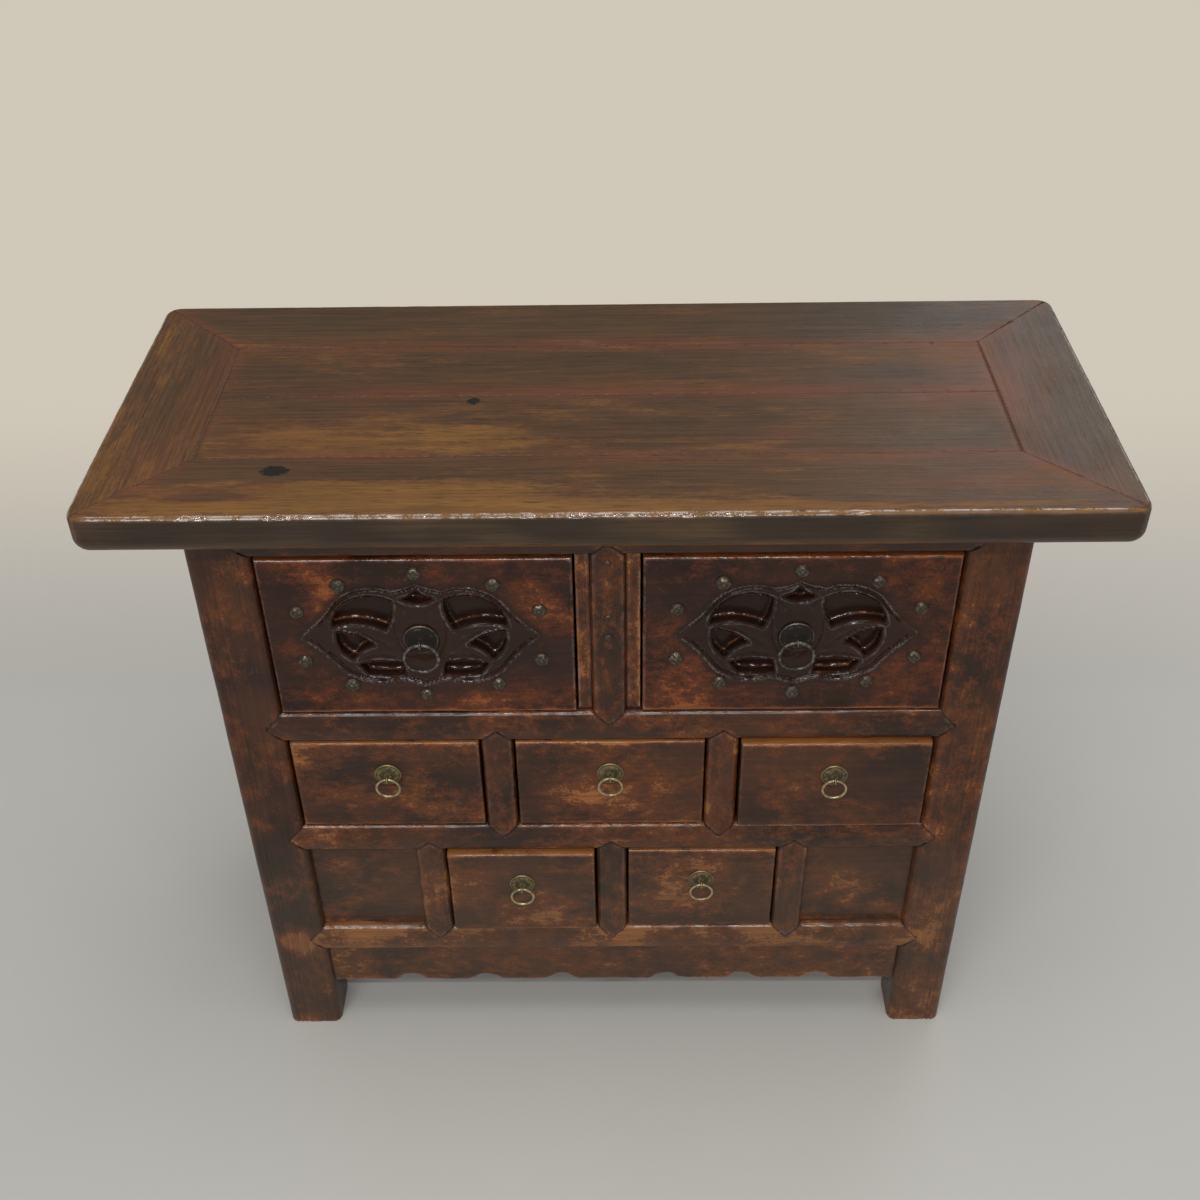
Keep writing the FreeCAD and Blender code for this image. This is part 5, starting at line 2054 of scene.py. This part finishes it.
@dataclass
class Top:
    """The mitred frame of the top, its two boards and the battens below them."""

    frame_grid: float = 0.005
    front_chip: float = 0.0018
    board_grid: float = 0.007
    left_seam: float = 0.3

    FRONT_RUBS: ClassVar[Rubs] = (
        Rub(0.28, 0.36, 0.26, 0.024, 0.40), Rub(0.62, 0.12, 0.4, 0.008, 0.40),
        Rub(0.25, 0.14, 0.3, 0.014, 0.42), Rub(0.125, 0.34, 0.04, 0.008, -0.7),
        Rub(0.8, 0.4, 0.1, 0.02, 0.1))
    LEFT_RUBS: ClassVar[Rubs] = (Rub(0.4, 0.2, 0.05, 0.07, 0.3), Rub(0.7, 0.6, 0.03, 0.08, 0.12))
    BOARD_RUBS: ClassVar[Rubs] = (Rub(0.2, 0.4, 0.2, 0.06, 0.24), Rub(0.45, 0.3, 0.2, 0.05, 0.08))
    FRONT_STAINS: ClassVar[Rubs] = (
        Rub(0.84, 0.5, 0.07, 0.014, 0.5), Rub(0.93, 0.75, 0.05, 0.02, 0.4),
        Rub(0.1, 0.4, 0.08, 0.02, 0.35))
    LEFT_STAINS: ClassVar[Rubs] = (Rub(0.6, 0.25, 0.04, 0.05, 0.35), Rub(0.85, 0.6, 0.02, 0.08, 0.3))
    RIGHT_STAINS: ClassVar[Rubs] = (Rub(0.2, 0.55, 0.025, 0.12, 0.45), Rub(0.75, 0.12, 0.03, 0.04, 0.3))
    BOARD_STAINS: ClassVar[Rubs] = (
        Rub(0.715, 0.38, 0.026, 0.013, 0.6), Rub(0.93, 0.9, 0.09, 0.02, 0.5),
        Rub(0.1, 0.3, 0.1, 0.06, 0.25))
    REAR_STAINS: ClassVar[Rubs] = (
        Rub(0.75, 0.08, 0.3, 0.016, 0.5), Rub(0.3, 0.1, 0.2, 0.014, 0.35),
        Rub(0.97, 0.5, 0.05, 0.06, 0.4))

    def build(self) -> None:
        """Make the frame's members and the boards."""
        TopBoard(
            "top_front_rail", TOP_ALONG, worn=0.06, rubs=self.FRONT_RUBS, grid=self.frame_grid,
            chip=self.front_chip, stains=self.FRONT_STAINS).build()
        TopBoard("top_rear_rail", TOP_ALONG, worn=0.02, grid=self.frame_grid).build()
        TopBoard(
            "top_left_end", TOP_ACROSS, worn=0.11, rubs=self.LEFT_RUBS, grid=self.frame_grid,
            seam=self.left_seam, stains=self.LEFT_STAINS).build()
        TopBoard(
            "top_right_end", TOP_ACROSS, worn=0.0, grid=self.frame_grid, stains=self.RIGHT_STAINS).build()
        TopBoard(
            "top_board_front", TOP_ALONG, worn=0.07, rubs=self.BOARD_RUBS, grid=self.board_grid,
            stains=self.BOARD_STAINS).build()
        TopBoard(
            "top_board_rear", TOP_ALONG, worn=0.12, grid=self.board_grid, stains=self.REAR_STAINS).build()
        dress_nodes(("top_battens",), BARE_ACROSS)


@dataclass
class Legs:
    """The four legs, with reeding down the front ones."""

    front_grid: float = 0.0019
    rear_grid: float = 0.004

    LEFT_RUBS: ClassVar[Rubs] = (
        Rub(0.45, 0.205, 0.022, 0.024, 0.45), Rub(0.5, 0.6, 0.02, 0.2, 0.06),
        Rub(0.5, 0.0, 0.05, 0.02, 0.25))
    RIGHT_RUBS: ClassVar[Rubs] = (
        Rub(0.4, 0.21, 0.022, 0.026, 0.45), Rub(0.3, 0.44, 0.014, 0.016, 0.3),
        Rub(0.5, 0.0, 0.05, 0.02, 0.2), Rub(0.5, 0.97, 0.08, 0.09, -0.12))
    FINE: ClassVar[Amounts] = {"keep": 0.35, "chip": 0.0016, "hollow_darkening": 0.15, "rubbed_edge": 0.4}

    def build(self) -> None:
        """Make the legs."""
        fine = {"grid": self.front_grid, **self.FINE}
        WornBoard("leg_front_left", FRONT_UPRIGHT, worn=0.02, rubs=self.LEFT_RUBS, **fine).build()
        WornBoard("leg_front_right", FRONT_UPRIGHT, worn=0.13, rubs=self.RIGHT_RUBS, **fine).build()
        for node in ("leg_rear_left", "leg_rear_right"):
            WornBoard(node, FRONT_UPRIGHT, worn=0.08, grid=self.rear_grid, keep=0.5).build()


@dataclass
class FrontFrame:
    """Rails, dividers, fixed panels, the apron and the nails of the front."""

    grid: float = 0.0021
    panel_grid: float = 0.003
    keep: float = 0.36
    panel_keep: float = 0.4
    chip: float = 0.0016

    RAILS: ClassVar[Amounts] = {
        "front_rail_top": -0.05, "front_rail_upper": 0.03, "front_rail_middle": 0.14,
        "front_rail_lower": 0.22}
    DIVIDERS: ClassVar[Amounts] = {
        "upper_divider": 0.08, "middle_dividers": 0.10, "lower_dividers": 0.12,
        "upper_divider_strips": 0.18}
    PANEL_RUBS: ClassVar[Rubs] = (
        Rub(0.09, 0.4, 0.035, 0.03, 0.2), Rub(0.91, 0.45, 0.04, 0.035, 0.24),
        Rub(0.5, 0.03, 1.0, 0.005, 0.3))

    def build(self) -> None:
        """Make the pieces of the front's framework."""
        fine = {"grid": self.grid, "keep": self.keep, "chip": self.chip}
        for node, worn in self.RAILS.items():
            WornBoard(node, FRONT_ALONG, worn, **fine).build()
        for node, worn in self.DIVIDERS.items():
            WornBoard(node, FRONT_UPRIGHT, worn, **fine).build()
        WornBoard(
            "fixed_panels", FRONT_ALONG, worn=0.08, rubs=self.PANEL_RUBS, grid=self.panel_grid,
            keep=self.panel_keep).build()
        WornBoard("apron", FRONT_ALONG, worn=0.16, **fine).build()
        NailHeads(
            "upper_divider_nails", "upper_divider", NAIL_IRON, lobes=0, lobe=0.0, variety=0.12,
            seed=5).build()


@dataclass
class Sides:
    """Side panels and rails, the back, and what the drawers run on."""

    grid: float = 0.004
    keep: float = 0.4

    def build(self) -> None:
        """Make the sides and the back, and dress the pieces that keep their shape."""
        coarse = {"grid": self.grid, "keep": self.keep}
        for node in ("side_panel_left", "side_panel_right"):
            WornBoard(node, FRONT_UPRIGHT, worn=0.08, **coarse).build()
        WornBoard("side_rails", SIDE_ALONG, worn=0.10, **coarse).build()
        for node in ("rear_rails", "back_boards"):
            WornBoard(node, BARE_ALONG, slot=Slot.BARE, **coarse).build()
        dress_nodes(("drawer_runners", "drawer_guides"), BARE_ACROSS)


@dataclass
class PlainDrawer:
    """A drawer with a plain front and a brass ring pull."""

    name: str
    seed: int
    worn: float
    rubs: Rubs = ()

    TOP_EDGE: ClassVar[Rub] = Rub(0.5, 1.0, 0.3, 0.0025, 0.3)
    # wear along the front's bottom edge, laid on strongly enough to paint the reflected light seen there as
    # well
    BOTTOM_WEAR_AND_REFLECTION: ClassVar[Rub] = Rub(0.5, 0.0, 0.3, 0.003, 0.4)

    def build(self) -> None:
        """Make the drawer."""
        self.build_front()
        dress_nodes((self.name + "_drawer_box",), BARE_ACROSS)
        self.build_metal()

    def build_front(self) -> None:
        """Make the front."""
        rubs = (self.TOP_EDGE, self.BOTTOM_WEAR_AND_REFLECTION, *self.rubs)
        WornBoard(
            self.name + "_drawer_front", FRONT_ALONG, self.worn, rubs, grid=0.0021, keep=0.45, chip=0.0014,
            rubbed_edge=0.45, body=self.name + "_drawer").build()

    def build_metal(self) -> None:
        """Make the ring pull."""
        RingPull(self.name, PLATE_BRASS, BRASS, Slot.BRASS, self.seed).build()


@dataclass
class CarvedDrawer(PlainDrawer):
    """An upper drawer, with a carved front, ten studs and an iron ring pull."""

    # stronger wear along the carved front's bottom edge, which also paints the reflected light seen there
    BOTTOM_WEAR_AND_REFLECTION: ClassVar[Rub] = Rub(0.5, 0.0, 0.3, 0.0035, 0.65)

    def build_front(self) -> None:
        """Make the carved front."""
        rubs = (self.TOP_EDGE, self.BOTTOM_WEAR_AND_REFLECTION, *self.rubs)
        CarvedFront(
            self.name + "_drawer_front", CARVED, self.worn, rubs, rubbed_edge=0.6,
            body=self.name + "_drawer").build()

    def build_metal(self) -> None:
        """Make the studs and the ring pull."""
        NailHeads(
            self.name + "_studs", self.name + "_drawer_front", STUD_IRON, lobes=7, lobe=0.015,
            variety=0.08, seed=self.seed, body=self.name + "_drawer").build()
        RingPull(self.name, IRON, RING_IRON, Slot.IRON, self.seed, uneven=0.14).build()


PROUD_EDGE = Rub(0.5, 1.0, 0.3, 0.0035, 0.12)
DRAWERS = (
    CarvedDrawer("upper_left", seed=11, worn=-0.02, rubs=(
        Rub(0.21, 0.8, 0.03, 0.04, 0.26), Rub(0.89, 0.74, 0.035, 0.05, 0.34),
        Rub(0.12, 0.42, 0.04, 0.02, 0.2), Rub(0.55, 0.06, 0.14, 0.018, 0.3))),
    CarvedDrawer("upper_right", seed=12, worn=0.06, rubs=(
        Rub(0.15, 0.12, 0.08, 0.03, 0.2), Rub(0.9, 0.2, 0.06, 0.04, 0.14))),
    PlainDrawer("middle_left", seed=21, worn=0.11, rubs=(
        Rub(0.08, 0.9, 0.05, 0.03, 0.22), Rub(0.62, 0.3, 0.06, 0.03, 0.18))),
    PlainDrawer("middle_centre", seed=22, worn=0.08, rubs=(Rub(0.5, 0.3, 0.09, 0.035, 0.2),)),
    PlainDrawer("middle_right", seed=23, worn=0.01, rubs=(PROUD_EDGE, Rub(0.25, 0.25, 0.05, 0.03, 0.18))),
    PlainDrawer("lower_left", seed=31, worn=0.08, rubs=(PROUD_EDGE, Rub(0.5, 0.35, 0.07, 0.04, 0.18))),
    PlainDrawer("lower_right", seed=32, worn=0.08, rubs=(Rub(0.35, 0.5, 0.05, 0.04, 0.22),)),
)


# Floor, light and camera


@dataclass(frozen=True)
class SoftLight:
    """A large soft lamp."""

    name: str
    place: Place
    aim: Place
    size: tuple[float, float]
    power: float

    def build(self) -> None:
        """Hang the lamp and turn it to its aim."""
        light = bpy.data.lights.new(self.name, "AREA")
        light.shape = "RECTANGLE"
        light.size, light.size_y = self.size
        light.energy = self.power
        lamp = bpy.data.objects.new(self.name, light)
        lamp.location = self.place
        lamp.rotation_euler = (Vector(self.aim) - Vector(self.place)).to_track_quat("-Z", "Y").to_euler()
        bpy.context.scene.collection.objects.link(lamp)


@dataclass
class Studio:
    """Pale floor, soft light and the camera."""

    floor_size: float = 24.0
    floor_colour: Colour = (0.60, 0.585, 0.545)
    floor_shade: float = 0.93
    floor_clouds: float = 2.5
    floor_roughness: float = 0.55
    backdrop: Colour = (0.63, 0.575, 0.48)
    backdrop_start: float = 0.35
    backdrop_end: float = 1.5
    sky: Colour = (0.90, 0.90, 0.90)
    sky_strength: float = 0.25
    camera_place: Place = (0.01188, -1.38565, 1.65963)
    camera_pitch: float = 38.15
    camera_yaw: float = -0.96
    camera_roll: float = 1.03
    focal_share: float = 1.22654
    sensor_width: float = 36.0
    lamps: tuple[SoftLight, ...] = field(default_factory=lambda: (
        SoftLight("overhead", (0.1, -0.3, 5.2), (0.0, -0.05, 0.8), (4.5, 2.6), 90.0),
        SoftLight("tube", (0.0, -2.6, 3.6), (0.0, -0.1, 0.7), (4.0, 0.09), 44.0),
        SoftLight("behind_camera", (-0.6, -3.6, 2.6), (0.0, 0.0, 0.45), (3.0, 1.5), 48.0),
        SoftLight("far_right", (1.7, 2.7, 2.4), (0.2, 0.0, 0.85), (1.8, 1.4), 12.0),
    ))

    def build(self) -> None:
        """Lay the floor, hang the lamps and set up the camera."""
        self.lay_floor()
        for lamp in self.lamps:
            lamp.build()
        world = bpy.data.worlds.new("soft sky")
        world.use_nodes = True
        background = world.node_tree.nodes["Background"]
        background.inputs["Color"].default_value = (*self.sky, 1.0)
        background.inputs["Strength"].default_value = self.sky_strength
        bpy.context.scene.world = world
        self.set_camera()
        bpy.context.scene.view_settings.view_transform = "Standard"

    def lay_floor(self) -> None:
        """Lay the pale floor."""
        half = self.floor_size / 2
        corners = [(-half, -half, 0.0), (half, -half, 0.0), (half, half, 0.0), (-half, half, 0.0)]
        mesh = bpy.data.meshes.new("floor")
        mesh.from_pydata(corners, [], [(0, 1, 2, 3)])
        floor = new_piece("floor", mesh)
        material, sheet = new_finish("pale_floor")
        place = sheet.add("ShaderNodeTexCoord").outputs["Object"]
        cloud = sheet.noise(place, self.floor_clouds, 5.0, 0.6)
        darker = tuple(channel * self.floor_shade for channel in self.floor_colour)
        colour = sheet.mix(cloud, self.floor_colour, darker)
        inputs = {"Base Color": colour, "Roughness": self.floor_roughness}
        surface = sheet.add("ShaderNodeBsdfPrincipled", inputs).outputs["BSDF"]
        pale = sheet.add("ShaderNodeEmission", {"Color": self.backdrop}).outputs[0]
        ray = sheet.add("ShaderNodeLightPath").outputs
        seen = sheet.math("MAXIMUM", ray["Is Camera Ray"], ray["Is Glossy Ray"])
        seen = sheet.math("MAXIMUM", seen, ray["Is Transmission Ray"])
        depth = sheet.add("ShaderNodeSeparateXYZ", {0: place}).outputs["Y"]
        share = sheet.math("MULTIPLY", sheet.smooth(depth, self.backdrop_start, self.backdrop_end), seen)
        whole = sheet.add("ShaderNodeMixShader", {0: share, 1: surface, 2: pale}).outputs[0]
        sheet.add("ShaderNodeOutputMaterial", {"Surface": whole})
        mesh.materials.append(material)

    def set_camera(self) -> None:
        """Set the camera at the photograph's view."""
        angles = (self.camera_pitch, self.camera_yaw, self.camera_roll)
        pitch, yaw, roll = (math.radians(angle) for angle in angles)
        ahead = Vector((math.sin(yaw) * math.cos(pitch), math.cos(yaw) * math.cos(pitch), -math.sin(pitch)))
        level = Vector((math.cos(yaw), -math.sin(yaw), 0.0))
        down = ahead.cross(level)
        right = level * math.cos(roll) + down * math.sin(roll)
        down = down * math.cos(roll) - level * math.sin(roll)
        lens = bpy.data.cameras.new("camera")
        lens.sensor_width = self.sensor_width
        lens.lens = self.sensor_width * self.focal_share
        camera = bpy.data.objects.new("camera", lens)
        turn = Matrix((right, -down, -ahead)).transposed()
        camera.matrix_world = Matrix.Translation(self.camera_place) @ turn.to_4x4()
        bpy.context.scene.collection.objects.link(camera)
        bpy.context.scene.camera = camera


def main() -> None:
    """Build the chest's sub-assemblies in order, then the studio round it."""
    logging.basicConfig(level=logging.INFO, format="%(name)s: %(message)s")
    Top().build()
    Legs().build()
    FrontFrame().build()
    Sides().build()
    for drawer in DRAWERS:
        drawer.build()
    Studio().build()


if __name__ == "__main__":
    main()
